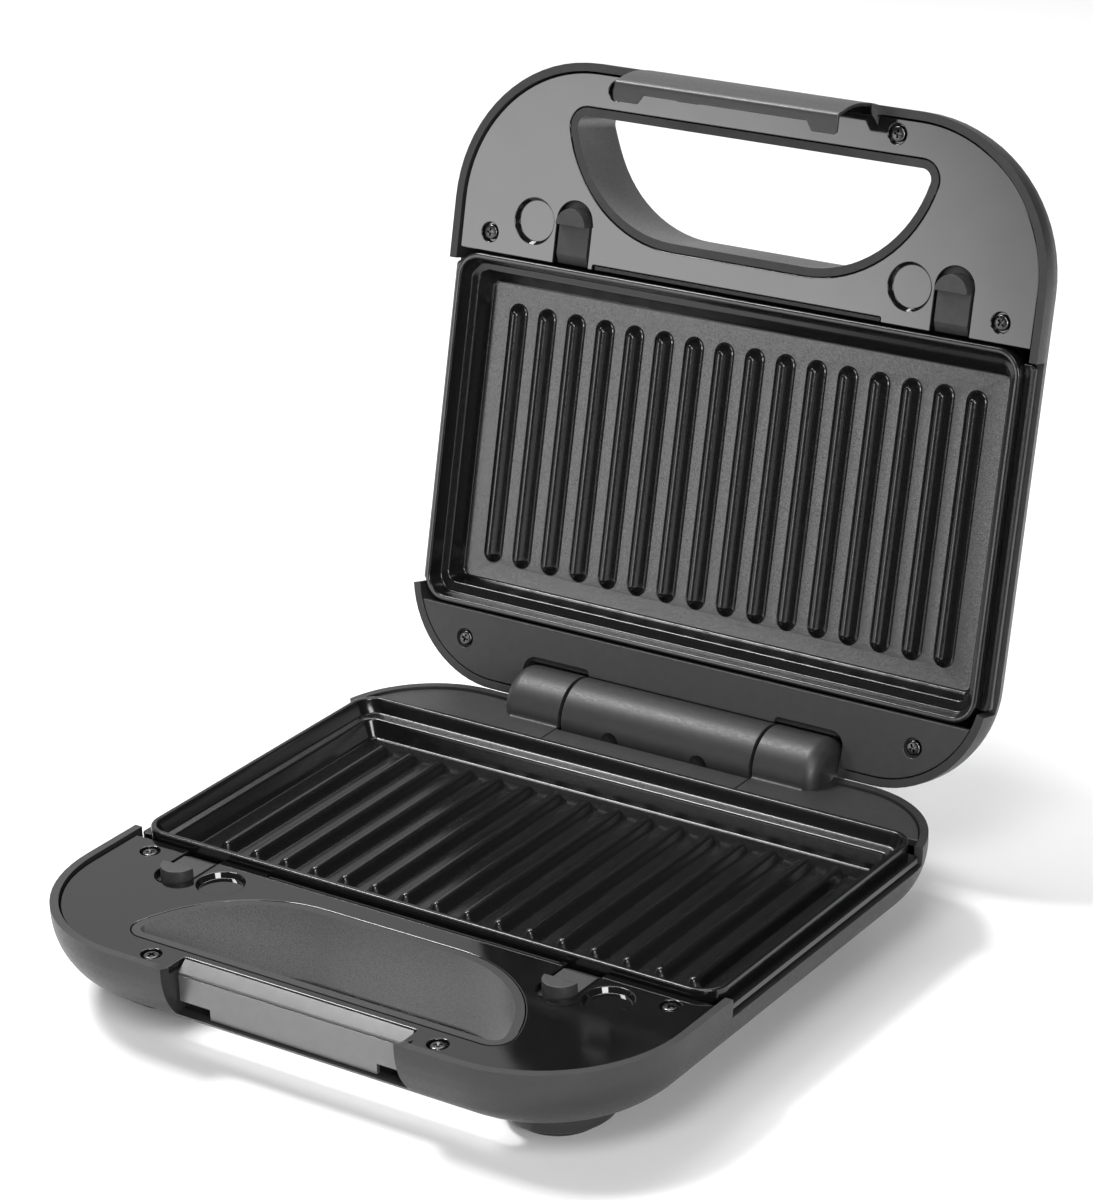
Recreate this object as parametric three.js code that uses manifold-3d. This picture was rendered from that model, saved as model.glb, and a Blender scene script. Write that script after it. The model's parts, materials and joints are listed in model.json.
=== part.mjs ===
// Two-plate panini press, standing on its feet with the lid open on its stop.
// Units are millimetres and +Z is up. The base and the lid share one moulding outline, so each half is
// built by the same functions in a "half frame": X runs across, Y towards the hinge, and Z towards the
// other half, with Z = 0 on the plane where the two closed halves meet.
import * as THREE from "three";
import { mergeVertices } from "three/addons/utils/BufferGeometryUtils.js";
import Module from "manifold-3d";

const wasm = await Module();
wasm.setup();

// ---- driving dimensions -------------------------------------------------------------------------
const GAP = 0.3; // clearance between separate pieces that touch
const THROUGH = 60; // half length of a cut that passes right through a piece
const BEYOND = 150; // distance that lies outside the press on every side
const ACROSS = [-BEYOND, BEYOND];

// Outline of both shells at their rims
const HALF_WIDTH = 119.2;
const FRONT = -229.9;
const REAR = -0.8;
const BASE_FRONT_RADIUS = 51;
const LID_FRONT_RADIUS = 54.5;
const REAR_RADIUS = 40;

// Levels in the half frame
const COVER_TOP = -3; // front cover face
const BASE_REAR_TOP = -2.7; // rear cover face of the base
const LID_REAR_TOP = 0.6; // rear cover face of the lid
const SHELL_DEPTH = 28; // rim to outer face
const SHELL_BOTTOM = COVER_TOP - SHELL_DEPTH;
const SIDE_TOP = -8.5; // shell rim beside the plate
const FOOT_BOTTOM = -37.5;

// Shell moulding
const SHELL_WALL = 2.4;
const SHELL_ROUND = 35; // how far the flat outer face is set in from the rim
const SHELL_POWER = 2.2; // superellipse power of the rounded side
const PROFILE_STEPS = 6;
const CORNER_STEPS = 6;
const PLATE_BAY_FRONT = -153.4; // the rim steps down between these two
const PLATE_BAY_REAR = -33;

// Covers
const COVER_THICKNESS = 2.4;
const COVER_INSET = 3.5;
const COVER_REAR = -157.6;
const REAR_COVER_FRONT = -27.7;
const REAR_COVER_INSET = 3;
const COVER_STEP_HALF_WIDTH = 58.5; // the cover edge is set back between the release tabs
const COVER_STEP = 1.9;

// Carrying handle opening, a D with its straight side to the front
const HANDLE_FRONT = -214.5;
const HANDLE_ARC_X = 26.5;
const HANDLE_ARC_Y = -217.5;
const HANDLE_ARC_RADIUS = 49;
const HANDLE_CORNER_RADIUS = 7;
const HANDLE_CORNER_X = 67.3;
const HANDLE_CORNER_ANGLE = Math.atan2(10, 40.8);
const HANDLE_RING = 3; // width of the shell's own lip inside the cover opening

// Screws: side and latch pairs on the front cover, one rear pair on the lid
const SIDE_SCREW = [103.5, -164.7];
const LATCH_SCREW = [56.2, -221.3];
const REAR_SCREW = [93.3, -17];
const SCREW_HEAD_RADIUS = 2.7;
const SCREW_HEAD_HEIGHT = 1.5;
const SCREW_RECESS_RADIUS = 3.5;
const SCREW_RECESS_DEPTH = 1.7;
const SCREW_SHANK_RADIUS = 1.4;
const SCREW_LENGTH = 11;
const SCREW_SLOT = [3.2, 0.8, 1.6]; // length, width and twice the depth
const BOSS_RADIUS = 3.6;

// Round dimples and release tabs, mirrored left to right between base and lid
const DIMPLE_X = [-68, 85];
const DIMPLE_Y = -171.3;
const DIMPLE_RADIUS = 8.3;
const DIMPLE_DEPTH = 1.4;
const TAB_X = [-85, 68];
const TAB_SLOT_HALF_WIDTH = 7.3;
const TAB_SLOT_CENTRE_Y = -173.5;
const TAB_BUTTON_RADIUS = 6.3;
const TAB_BUTTON_Y = -172.3;
const TAB_BUTTON_HEIGHT = 4.3;
const TAB_TONGUE_REAR = -157.9;
const TAB_CARRIER_HALF_WIDTH = 7.6;
const TAB_CARRIER_FRONT = -177.6;
const TAB_CARRIER_DEPTH = 3;
const SPRING_RADIUS = 2;
const SPRING_WIRE_RADIUS = 0.45;
const SPRING_TURNS = 4.5;
const SPRING_OFFSET = 3.4; // further out than the middle of its tab
const SPRING_FRONT = -187.6;
const SPRING_REAR = -178.2;
const SPRING_Z = -8.8;

// Grill plates
const PLATE_HALF_WIDTH = 114.3;
const PLATE_FRONT = -156.8;
const PLATE_REAR = -28.6;
const PLATE_RADIUS = 9;
const PLATE_RIM_TOP = -0.15;
const PLATE_RIM_WIDTH = 2;
const PLATE_FLANGE_HALF_WIDTH = 117.7;
const PLATE_FLANGE_TOP = -4.6;
const PLATE_FLANGE_BOTTOM = -7;
const PLATE_FLOOR = -12.2;
const PLATE_THICKNESS = 2.5;
const RIB_COUNT = 16;
const RIB_PITCH = 12.5;
const RIB_HALF_WIDTH = 3.3;
const RIB_FRONT = -139.4;
const RIB_REAR = -44.1;
const RIB_HEIGHT = 4;
// Rounded rectangles of the pan's wall as half width, front, rear, radius and level, from the floor up
const PAN_WALL = [
  [105.3, -146.2, -37.3, 2, PLATE_FLOOR],
  [108.6, -150.8, -35.2, 4, -6.4],
  [110.4, -152.6, -31.8, 6, -5.6],
];
const PLATE_UNDERSIDE = [106.8, -148, -35.6, 3, PLATE_FLOOR - PLATE_THICKNESS];

// Hinge: the lid's barrel turns between two knuckles that belong to the base
const HINGE_Y = -0.8;
const HINGE_Z = -2; // below the meeting plane in the base, so above it in the lid's own frame
const BARREL_RADIUS = 13.1;
const BARREL_HALF_LENGTH = 39.4;
const KNUCKLE_INNER = 40.4;
const KNUCKLE_OUTER = 65;
const KNUCKLE_ROUND = 5;
const KNUCKLE_FOOT_DEPTH = 9; // block under the cover that carries a knuckle
const HINGE_CLEARANCE = 0.8;
const PIN_RADIUS = 3;
const PIN_BORE_RADIUS = 3.25;
const PIN_HALF_LENGTH = 60;
const LID_OPEN_DEGREES = 104.2;
const BARREL_HOLE_X = 18.5;
const BARREL_HOLE_RADIUS = 3.6;
const BARREL_HOLE_DEPTH = 3;
const BARREL_HOLE_DEGREES = 6.1; // below the horizontal, on the front of the barrel, lid open
const BARREL_TONGUE_HALF_WIDTH = 34;
const CENTRE_STRIP_REAR = -15.3;
const LID_CUTOUT_FRONT = -16.1;

// Latch on the lid's front edge and its catch on the base
const NOTCH_HALF_WIDTH = 45.6;
const NOTCH_REAR = -217.4;
const LID_COVER_NOTCH_REAR = -226.4; // the lid's cover runs on under the latch
const NOTCH_BOTTOM = -20.5;
const LATCH_HALF_WIDTH = 44.5;
const LATCH_SHEET = 1.3;
const LATCH_TOP = 17.9; // how far the lip stands beyond the meeting plane
const LATCH_LIP_REAR = -222.6;
const LATCH_FOOT_INNER = 34.8;
const LATCH_FOOT_REAR = -219.4;
const LUG_RADIUS = 3.6;
const LUG_WIDTH = 2;
const LUG_ARM_FRONT = -229;
const LUG_ARM_HALF_HEIGHT = 3;
const BEARING_WIDTH = 4;
const BEARING_FRONT = -227;
const BEARING_BOTTOM = -15;
const LATCH_PIN_HALF_LENGTH = 48.2;
const LATCH_PIVOT_Y = -222.4;
const LATCH_PIVOT_Z = -10;
const LATCH_PIN_RADIUS = 1.4;
const CATCH_HALF_WIDTH = 43.5;
const CATCH_FACE_Y = -222.1;
const CATCH_TOP_REAR_Y = -218.2;
const CATCH_BOTTOM = -20.1;
const CATCH_DROP = 3.2; // fall of its top from the rear to the face
const CATCH_FOOT_BOTTOM = -16.3;
const CATCH_SHEET = 1.6;

// Heater under each plate
const TRAY_HALF_WIDTH = 101;
const TRAY_FRONT = -143;
const TRAY_REAR = -41;
const TRAY_TOP = -15.3;
const TRAY_FLOOR = -24.4;
const TRAY_WALL = 0.8;
const ELEMENT_RADIUS = 3.2;
const ELEMENT_Z = -19.2;
const ELEMENT_HALF_WIDTH = 84;
const ELEMENT_BEND = 28;
const ELEMENT_BEND_REACH = 37.3; // control point distance that makes a half-round bend
const TRAY_POST_RADIUS = 4;
const TRAY_POST_X = 72;
const TRAY_POST_INSET = 16;
const THERMOSTAT_X = -20;
const THERMOSTAT_RADIUS = 9;
const THERMOSTAT_TOP = -17;
const THERMOSTAT_BLADES = [28, 5, 1]; // length, width and thickness across both blades
const FUSE_X = 28;
const FUSE_Z = -21;
const FUSE_RADIUS = 2.2;
const FUSE_HALF_LENGTH = 7;
const FUSE_WIRE_RADIUS = 0.6;
const FUSE_WIRE_HALF_LENGTH = 16;
const TERMINAL_BLOCK = [
  [68, 92],
  [-31, -22],
  [-20.5, -11.8],
];
const TERMINAL_HOLES_X = [74, 80, 86];
const TERMINAL_HOLE_RADIUS = 1.6;
const TERMINAL_HOLE_BOTTOM = -17;

// Feet
const FOOT_X = 77;
const FRONT_FOOT_Y = -188;
const REAR_FOOT_Y = -40;
const FOOT_BOSS_RADIUS = 19;
const FOOT_BOSS_BOTTOM = -34.6;
const FOOT_PAD_RADIUS = 15.5;
const FOOT_PAD_HEIGHT = 2.6;

// Sleeve for the mains lead, in the rear wall
const GLAND_X = -88;
const GLAND_Z = -15;
const GLAND_FACE = -2;
const GLAND_NECK = 4.6;
const GLAND_BORE = 2.8;
const GLAND_LENGTH = 11; // outside the wall
const GLAND_COLLAR_RADIUS = 6.8;
const GLAND_LIP = 2.5;
const GLAND_LIP_RADIUS = 5.5;
const GLAND_BOSS_RADIUS = 8.6;
const GLAND_BOSS_DEPTH = 10.8;

// Indicator lenses in the lid's outer face
const LENS_X = [-11, 11];
const LENS_Y = -155;
const LENS_RADIUS = 3.4;
const LENS_FLANGE_RADIUS = 5;
const LENS_DEPTH = 6;
const LENS_SET_BACK = 0.4;

// ---- materials ----------------------------------------------------------------------------------
const finish = (color, roughness, metalness = 0) =>
  new THREE.MeshStandardMaterial({ color, roughness, metalness });
const MATERIAL = {
  shell: finish(0x3c3d3f, 0.42),
  frontCover: finish(0x2c2d2f, 0.12),
  rearCover: finish(0x303133, 0.55),
  plate: finish(0x1d1d1e, 0.38, 0.3),
  tab: finish(0x3a3b3d, 0.6),
  latch: finish(0x7c7d7f, 0.35, 0.6),
  catch: finish(0x9a9b9d, 0.35, 0.6),
  screw: finish(0x2a2a2b, 0.3, 0.9),
  rubber: finish(0x161617, 0.9),
  steel: finish(0xa8a9ab, 0.35, 1),
  aluminium: finish(0xb9babc, 0.4, 1),
  ceramic: finish(0xe4e1d8, 0.5),
  lens: finish(0x8c1f1a, 0.15),
};

// ---- geometry helpers ---------------------------------------------------------------------------

/** A closed three.js geometry as a solid that can be joined and cut. */
function solid(geometry) {
  const plain = geometry.index ? geometry.toNonIndexed() : geometry.clone();
  plain.deleteAttribute("normal");
  plain.deleteAttribute("uv");
  const merged = mergeVertices(plain, 1e-4);
  return new wasm.Manifold(
    new wasm.Mesh({
      numProp: 3,
      vertProperties: merged.attributes.position.array,
      triVerts: new Uint32Array(merged.index.array),
    }),
  );
}

/** A named mesh from a solid. */
function piece(name, body, material) {
  const data = body.getMesh();
  const positions = new Float32Array(data.numVert * 3);
  for (let i = 0; i < data.numVert; i++) {
    const start = i * data.numProp;
    positions.set(data.vertProperties.subarray(start, start + 3), i * 3);
  }
  const geometry = new THREE.BufferGeometry();
  geometry.setAttribute("position", new THREE.BufferAttribute(positions, 3));
  geometry.setIndex(new THREE.BufferAttribute(new Uint32Array(data.triVerts), 1));
  geometry.computeVertexNormals();
  const mesh = new THREE.Mesh(geometry, material);
  mesh.name = name;
  return mesh;
}

const union = (bodies) => bodies.reduce((sum, body) => sum.add(body));

/** A box given by its extent along each axis. */
function box([x0, x1], [y0, y1], [z0, z1]) {
  const geometry = new THREE.BoxGeometry(x1 - x0, y1 - y0, z1 - z0);
  return solid(geometry.translate((x0 + x1) / 2, (y0 + y1) / 2, (z0 + z1) / 2));
}

/** An upright cylinder. */
function post(x, y, radius, [z0, z1], sides = 16) {
  const geometry = new THREE.CylinderGeometry(radius, radius, z1 - z0, sides);
  return solid(geometry.rotateX(Math.PI / 2).translate(x, y, (z0 + z1) / 2));
}

/** A cylinder that lies along X. */
function rod([x0, x1], y, z, radius, sides = 16) {
  const geometry = new THREE.CylinderGeometry(radius, radius, x1 - x0, sides);
  return solid(geometry.rotateZ(Math.PI / 2).translate((x0 + x1) / 2, y, z));
}

/** A flat outline extruded upwards from z0 to z1. */
function slab(shape, [z0, z1], curveSegments = 8) {
  const geometry = new THREE.ExtrudeGeometry(shape, {
    depth: z1 - z0,
    bevelEnabled: false,
    curveSegments,
  });
  return solid(geometry.translate(0, 0, z0));
}

/** A section in the Y-Z plane, given as [y, z] points, extruded along X. */
function bar(section, [x0, x1]) {
  const shape = new THREE.Shape(section.map(([y, z]) => new THREE.Vector2(y, z)));
  const geometry = new THREE.ExtrudeGeometry(shape, { depth: x1 - x0, bevelEnabled: false });
  // The section's own X and Y become Y and Z, and its depth becomes X.
  const turn = new THREE.Matrix4().makeBasis(
    new THREE.Vector3(0, 1, 0),
    new THREE.Vector3(0, 0, 1),
    new THREE.Vector3(1, 0, 0),
  );
  return solid(geometry.applyMatrix4(turn).translate(x0, 0, 0));
}

/** Rounded rectangle, symmetric in X, with one radius at the front and one at the rear. */
function roundedOutline(halfWidth, front, rear, frontRadius, rearRadius) {
  const shape = new THREE.Shape();
  const right = Math.PI / 2;
  shape.absarc(halfWidth - rearRadius, rear - rearRadius, rearRadius, 0, right);
  shape.absarc(-halfWidth + rearRadius, rear - rearRadius, rearRadius, right, 2 * right);
  shape.absarc(-halfWidth + frontRadius, front + frontRadius, frontRadius, 2 * right, 3 * right);
  shape.absarc(halfWidth - frontRadius, front + frontRadius, frontRadius, 3 * right, 4 * right);
  return shape;
}

/** The points of a rounded rectangle at one level, for lofting. */
function ring(halfWidth, front, rear, frontRadius, rearRadius, z) {
  const corners = [
    [halfWidth - rearRadius, rear - rearRadius, rearRadius],
    [-halfWidth + rearRadius, rear - rearRadius, rearRadius],
    [-halfWidth + frontRadius, front + frontRadius, frontRadius],
    [halfWidth - frontRadius, front + frontRadius, frontRadius],
  ];
  return corners.flatMap(([x, y, radius], corner) =>
    Array.from({ length: CORNER_STEPS + 1 }, (_, i) => {
      const angle = (corner + i / CORNER_STEPS) * (Math.PI / 2);
      return [x + radius * Math.cos(angle), y + radius * Math.sin(angle), z];
    }),
  );
}

/** A solid skinned over convex rings that run from bottom to top. */
function loft(rings) {
  const count = rings[0].length;
  const faces = [];
  for (let i = 1; i < count - 1; i++) {
    faces.push(0, i + 1, i);
    const top = (rings.length - 1) * count;
    faces.push(top, top + i, top + i + 1);
  }
  for (let level = 0; level < rings.length - 1; level++) {
    for (let i = 0; i < count; i++) {
      const a = level * count + i;
      const b = level * count + ((i + 1) % count);
      faces.push(a, b, b + count, a, b + count, a + count);
    }
  }
  const geometry = new THREE.BufferGeometry();
  geometry.setAttribute("position", new THREE.Float32BufferAttribute(rings.flat(2), 3));
  geometry.setIndex(faces);
  return solid(geometry);
}

/** The D-shaped handle opening, drawn smaller by the given inset. */
function handleOutline(inset) {
  const up = Math.PI / 2;
  const small = HANDLE_CORNER_RADIUS - inset;
  const large = HANDLE_ARC_RADIUS - inset;
  const cornerY = HANDLE_FRONT + HANDLE_CORNER_RADIUS;
  const shape = new THREE.Shape();
  shape.absarc(HANDLE_CORNER_X, cornerY, small, -up, HANDLE_CORNER_ANGLE);
  shape.absarc(HANDLE_ARC_X, HANDLE_ARC_Y, large, HANDLE_CORNER_ANGLE, up);
  shape.absarc(-HANDLE_ARC_X, HANDLE_ARC_Y, large, up, Math.PI - HANDLE_CORNER_ANGLE);
  shape.absarc(-HANDLE_CORNER_X, cornerY, small, Math.PI - HANDLE_CORNER_ANGLE, 3 * up);
  return shape;
}

/** Slot with a round front end that runs off the plate side of the front cover. */
function tabSlotOutline(x) {
  const shape = new THREE.Shape();
  shape.moveTo(x + TAB_SLOT_HALF_WIDTH, COVER_REAR + 1);
  shape.lineTo(x - TAB_SLOT_HALF_WIDTH, COVER_REAR + 1);
  shape.absarc(x, TAB_SLOT_CENTRE_Y, TAB_SLOT_HALF_WIDTH, Math.PI, 2 * Math.PI);
  return shape;
}

/** Half-round button outline with its straight side towards the plate. */
function buttonOutline(x) {
  const shape = new THREE.Shape();
  shape.absarc(x, TAB_BUTTON_Y, TAB_BUTTON_RADIUS, Math.PI, 2 * Math.PI);
  return shape;
}

const bothSides = ([x, y]) => [
  [-x, y],
  [x, y],
];

/** The span along X from an inner to an outer distance on one side. */
const spanX = (side, inner, outer) => (side > 0 ? [inner, outer] : [-outer, -inner]);

// ---- shells -------------------------------------------------------------------------------------

/** The pillow-shaped body of a half, shrunk by a wall thickness, from its outer face up to top. */
function pillow(wall, top, frontRadius) {
  const rings = [];
  for (let i = PROFILE_STEPS; i >= 0; i--) {
    const angle = (i / PROFILE_STEPS) * (Math.PI / 2);
    const across = Math.max(0, Math.cos(angle)) ** (2 / SHELL_POWER);
    const down = Math.sin(angle) ** (2 / SHELL_POWER);
    const inset = wall + (SHELL_ROUND - wall) * (1 - across);
    rings.push(outerRing(inset, COVER_TOP - (SHELL_DEPTH - wall) * down, frontRadius));
  }
  rings.push(outerRing(wall, top, frontRadius));
  return loft(rings);
}

const outerRing = (inset, z, frontRadius) =>
  ring(
    HALF_WIDTH - inset,
    FRONT + inset,
    REAR - inset,
    frontRadius - inset,
    REAR_RADIUS - inset,
    z,
  );

/** Clearance that both shells give to the hinge barrel and its knuckles. */
const hingeCut = (hingeZ) =>
  rod(
    [-KNUCKLE_OUTER - HINGE_CLEARANCE, KNUCKLE_OUTER + HINGE_CLEARANCE],
    HINGE_Y,
    hingeZ,
    BARREL_RADIUS + HINGE_CLEARANCE,
    32,
  );

/** Moulded shell of one half, open towards the other half. */
function makeShell({
  frontRadius,
  rearTop,
  screws,
  hingeZ,
  latchBearings,
  outsideBosses,
  extraCuts,
}) {
  const above = rearTop + 5;
  const envelope = pillow(0, above, frontRadius);
  const bossTop = (y) => (y > PLATE_BAY_REAR ? rearTop : COVER_TOP) - COVER_THICKNESS - GAP;
  const inside = [
    slab(handleOutline(0.4), [SHELL_BOTTOM, COVER_TOP], 12),
    box(
      [-NOTCH_HALF_WIDTH - BEARING_WIDTH, NOTCH_HALF_WIDTH + BEARING_WIDTH],
      [NOTCH_REAR, NOTCH_REAR + 4],
      [NOTCH_BOTTOM - 5, COVER_TOP - COVER_THICKNESS - GAP],
    ),
    ...screws.map(([x, y]) => post(x, y, BOSS_RADIUS, [SHELL_BOTTOM, bossTop(y)], 12)),
    ...trayPosts(),
    ...latchBearings,
  ];
  let shell = envelope.subtract(pillow(SHELL_WALL, above + 1, frontRadius));
  shell = shell.add(union(inside).intersect(envelope));
  if (outsideBosses.length) shell = shell.add(union(outsideBosses));
  const cuts = [
    slab(handleOutline(HANDLE_RING), [SHELL_BOTTOM - 5, COVER_TOP + 1], 12),
    box(ACROSS, [FRONT - 5, PLATE_BAY_FRONT], [COVER_TOP, above + 5]),
    box(ACROSS, [PLATE_BAY_FRONT - 1, PLATE_BAY_REAR], [SIDE_TOP, above + 5]),
    box(ACROSS, [PLATE_BAY_REAR - 1, REAR + 5], [rearTop, above + 5]),
    box(
      [-NOTCH_HALF_WIDTH, NOTCH_HALF_WIDTH],
      [FRONT - 5, NOTCH_REAR],
      [NOTCH_BOTTOM, COVER_TOP + 1],
    ),
    hingeCut(hingeZ),
    ...screws.map(([x, y]) =>
      post(x, y, SCREW_SHANK_RADIUS + GAP, [bossTop(y) - SCREW_LENGTH, bossTop(y) + 1], 10),
    ),
    ...extraCuts,
  ];
  return shell.subtract(union(cuts));
}

/** Posts that stand on the shell floor and carry the heater tray. */
const trayPosts = () =>
  [-1, 1].flatMap((side) =>
    [TRAY_FRONT + TRAY_POST_INSET, TRAY_REAR - TRAY_POST_INSET].map((y) =>
      post(side * TRAY_POST_X, y, TRAY_POST_RADIUS, [SHELL_BOTTOM, TRAY_FLOOR - GAP], 12),
    ),
  );

/** Round boss under the base that a rubber foot plugs into. */
function footBoss([x, y]) {
  const outline = [
    [0, FOOT_BOSS_BOTTOM],
    [FOOT_BOSS_RADIUS - 1.5, FOOT_BOSS_BOTTOM],
    [FOOT_BOSS_RADIUS, FOOT_BOSS_BOTTOM + 1.5],
    [FOOT_BOSS_RADIUS + 2, SHELL_BOTTOM + 2],
    [0, SHELL_BOTTOM + 2],
  ];
  const points = outline.map(([radius, z]) => new THREE.Vector2(radius, z));
  const geometry = new THREE.LatheGeometry(points, 24);
  return solid(geometry.rotateX(Math.PI / 2).translate(x, y, 0));
}

// ---- covers -------------------------------------------------------------------------------------

/** Glossy front cover round the handle opening. */
function makeFrontCover(frontRadius, notchRear) {
  const outline = roundedOutline(
    HALF_WIDTH - COVER_INSET,
    FRONT + COVER_INSET,
    REAR,
    frontRadius - COVER_INSET,
    REAR_RADIUS,
  );
  const bottom = COVER_TOP - COVER_THICKNESS;
  const cover = slab(outline, [bottom, COVER_TOP], 12);
  const recessFloor = COVER_TOP - SCREW_RECESS_DEPTH;
  const cuts = [
    box(ACROSS, [COVER_REAR, REAR + 5], [bottom - 1, COVER_TOP + 1]),
    box(
      [-COVER_STEP_HALF_WIDTH, COVER_STEP_HALF_WIDTH],
      [COVER_REAR - COVER_STEP, REAR],
      [bottom - 1, COVER_TOP + 1],
    ),
    slab(handleOutline(0), [bottom - 1, COVER_TOP + 1], 12),
    box(
      [-NOTCH_HALF_WIDTH, NOTCH_HALF_WIDTH],
      [FRONT, notchRear],
      [bottom - 1, COVER_TOP + 1],
    ),
    ...TAB_X.map((x) => slab(tabSlotOutline(x), [bottom - 1, COVER_TOP + 1])),
    ...DIMPLE_X.map((x) =>
      post(x, DIMPLE_Y, DIMPLE_RADIUS, [COVER_TOP - DIMPLE_DEPTH, COVER_TOP + 1], 24),
    ),
    ...[SIDE_SCREW, LATCH_SCREW].flatMap(bothSides).flatMap(([x, y]) => [
      post(x, y, SCREW_RECESS_RADIUS, [recessFloor, COVER_TOP + 1]),
      post(x, y, SCREW_SHANK_RADIUS + GAP, [bottom - 1, recessFloor + 0.01], 10),
    ]),
  ];
  return cover.subtract(union(cuts));
}

/** Blank for a rear cover: the rear end of the outline, cut off in front. */
function rearCoverBlank(top) {
  const outline = roundedOutline(
    HALF_WIDTH - REAR_COVER_INSET,
    FRONT,
    REAR - REAR_COVER_INSET,
    BASE_FRONT_RADIUS,
    REAR_RADIUS - REAR_COVER_INSET,
  );
  const bottom = top - COVER_THICKNESS;
  const blank = slab(outline, [bottom, top], 10);
  return blank.subtract(
    box(ACROSS, [FRONT - 5, REAR_COVER_FRONT], [bottom - 1, top + 1]),
  );
}

/** Rear cover of the lid, cut away round the barrel and the two knuckles. */
function makeLidRearCover() {
  const bottom = LID_REAR_TOP - COVER_THICKNESS;
  const levels = [bottom - 1, LID_REAR_TOP + 1];
  const recessFloor = LID_REAR_TOP - SCREW_RECESS_DEPTH;
  const cutout = new THREE.Shape();
  cutout.absarc(KNUCKLE_OUTER - 3.5, LID_CUTOUT_FRONT + 5, 5, -Math.PI / 2, 0);
  cutout.lineTo(KNUCKLE_OUTER + 1.5, 10);
  cutout.lineTo(-KNUCKLE_OUTER - 1.5, 10);
  cutout.absarc(-KNUCKLE_OUTER + 3.5, LID_CUTOUT_FRONT + 5, 5, Math.PI, 1.5 * Math.PI);
  return rearCoverBlank(LID_REAR_TOP).subtract(
    union([
      slab(cutout, levels),
      ...bothSides(REAR_SCREW).flatMap(([x, y]) => [
        post(x, y, SCREW_RECESS_RADIUS, [recessFloor, LID_REAR_TOP + 1]),
        post(x, y, SCREW_SHANK_RADIUS + GAP, [bottom - 1, recessFloor + 0.01], 10),
      ]),
    ]),
  );
}

/** One side of the base's rear cover, moulded in one piece with its hinge knuckle. */
function makeKnuckleCover(side) {
  const inner = KNUCKLE_INNER;
  const length = KNUCKLE_OUTER - inner;
  const plate = rearCoverBlank(BASE_REAR_TOP)
    .intersect(box(spanX(side, inner, BEYOND), [FRONT, REAR + 5], [-50, 50]))
    .subtract(rod([-200, 200], HINGE_Y, HINGE_Z, BARREL_RADIUS - 1, 32));
  const profile = [
    [0, 0],
    [BARREL_RADIUS, 0],
    [BARREL_RADIUS, length - KNUCKLE_ROUND],
  ];
  const roundSteps = 4;
  for (let i = 1; i <= roundSteps; i++) {
    const angle = (i / roundSteps) * (Math.PI / 2);
    profile.push([
      BARREL_RADIUS - KNUCKLE_ROUND * (1 - Math.cos(angle)),
      length - KNUCKLE_ROUND * (1 - Math.sin(angle)),
    ]);
  }
  profile.push([0, length]);
  const points = profile.map(([radius, along]) => new THREE.Vector2(radius, along));
  const turned = new THREE.LatheGeometry(points, 32);
  turned.rotateZ(-side * (Math.PI / 2)).translate(side * inner, HINGE_Y, HINGE_Z);
  const foot = box(
    spanX(side, inner, KNUCKLE_OUTER - 3),
    [-15, HINGE_Y],
    [BASE_REAR_TOP - KNUCKLE_FOOT_DEPTH, BASE_REAR_TOP],
  );
  return union([plate, solid(turned), foot]).subtract(
    rod(spanX(side, 0, PIN_HALF_LENGTH + 1), HINGE_Y, HINGE_Z, PIN_BORE_RADIUS, 24),
  );
}

/** Narrow strip of the base's rear cover between the knuckles. */
function makeCentreStrip() {
  const halfWidth = KNUCKLE_INNER - GAP;
  return box(
    [-halfWidth, halfWidth],
    [REAR_COVER_FRONT, CENTRE_STRIP_REAR],
    [BASE_REAR_TOP - COVER_THICKNESS, BASE_REAR_TOP],
  );
}

/** Hinge barrel with the tongue that fastens it inside the lid. Drawn in the lid's half frame. */
function makeBarrel() {
  const axisZ = -HINGE_Z;
  const halfWidth = BARREL_TONGUE_HALF_WIDTH;
  const tongue = box([-halfWidth, halfWidth], [-27, HINGE_Y], [-11, -6]);
  // The lid's own frame is turned over and opened, so the angle to the holes is counted from there.
  const angle = Math.PI - THREE.MathUtils.degToRad(LID_OPEN_DEGREES + BARREL_HOLE_DEGREES);
  const holes = [-1, 1].map((side) => {
    const depth = 2 * BARREL_HOLE_DEPTH;
    const geometry = new THREE.CylinderGeometry(BARREL_HOLE_RADIUS, BARREL_HOLE_RADIUS, depth, 16);
    geometry.translate(0, BARREL_RADIUS, 0).rotateX(angle);
    return solid(geometry.translate(side * BARREL_HOLE_X, HINGE_Y, axisZ));
  });
  return rod([-BARREL_HALF_LENGTH, BARREL_HALF_LENGTH], HINGE_Y, axisZ, BARREL_RADIUS, 40)
    .add(tongue)
    .subtract(rod([-THROUGH, THROUGH], HINGE_Y, axisZ, PIN_BORE_RADIUS, 24))
    .subtract(union(holes));
}

// ---- grill plate --------------------------------------------------------------------------------

const plateRing = (halfWidth, front, rear, radius, z) =>
  ring(halfWidth, front, rear, radius, radius, z);
const rimRing = (inset, z) =>
  plateRing(
    PLATE_HALF_WIDTH - inset,
    PLATE_FRONT + inset,
    PLATE_REAR - inset,
    PLATE_RADIUS - inset,
    z,
  );

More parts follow.
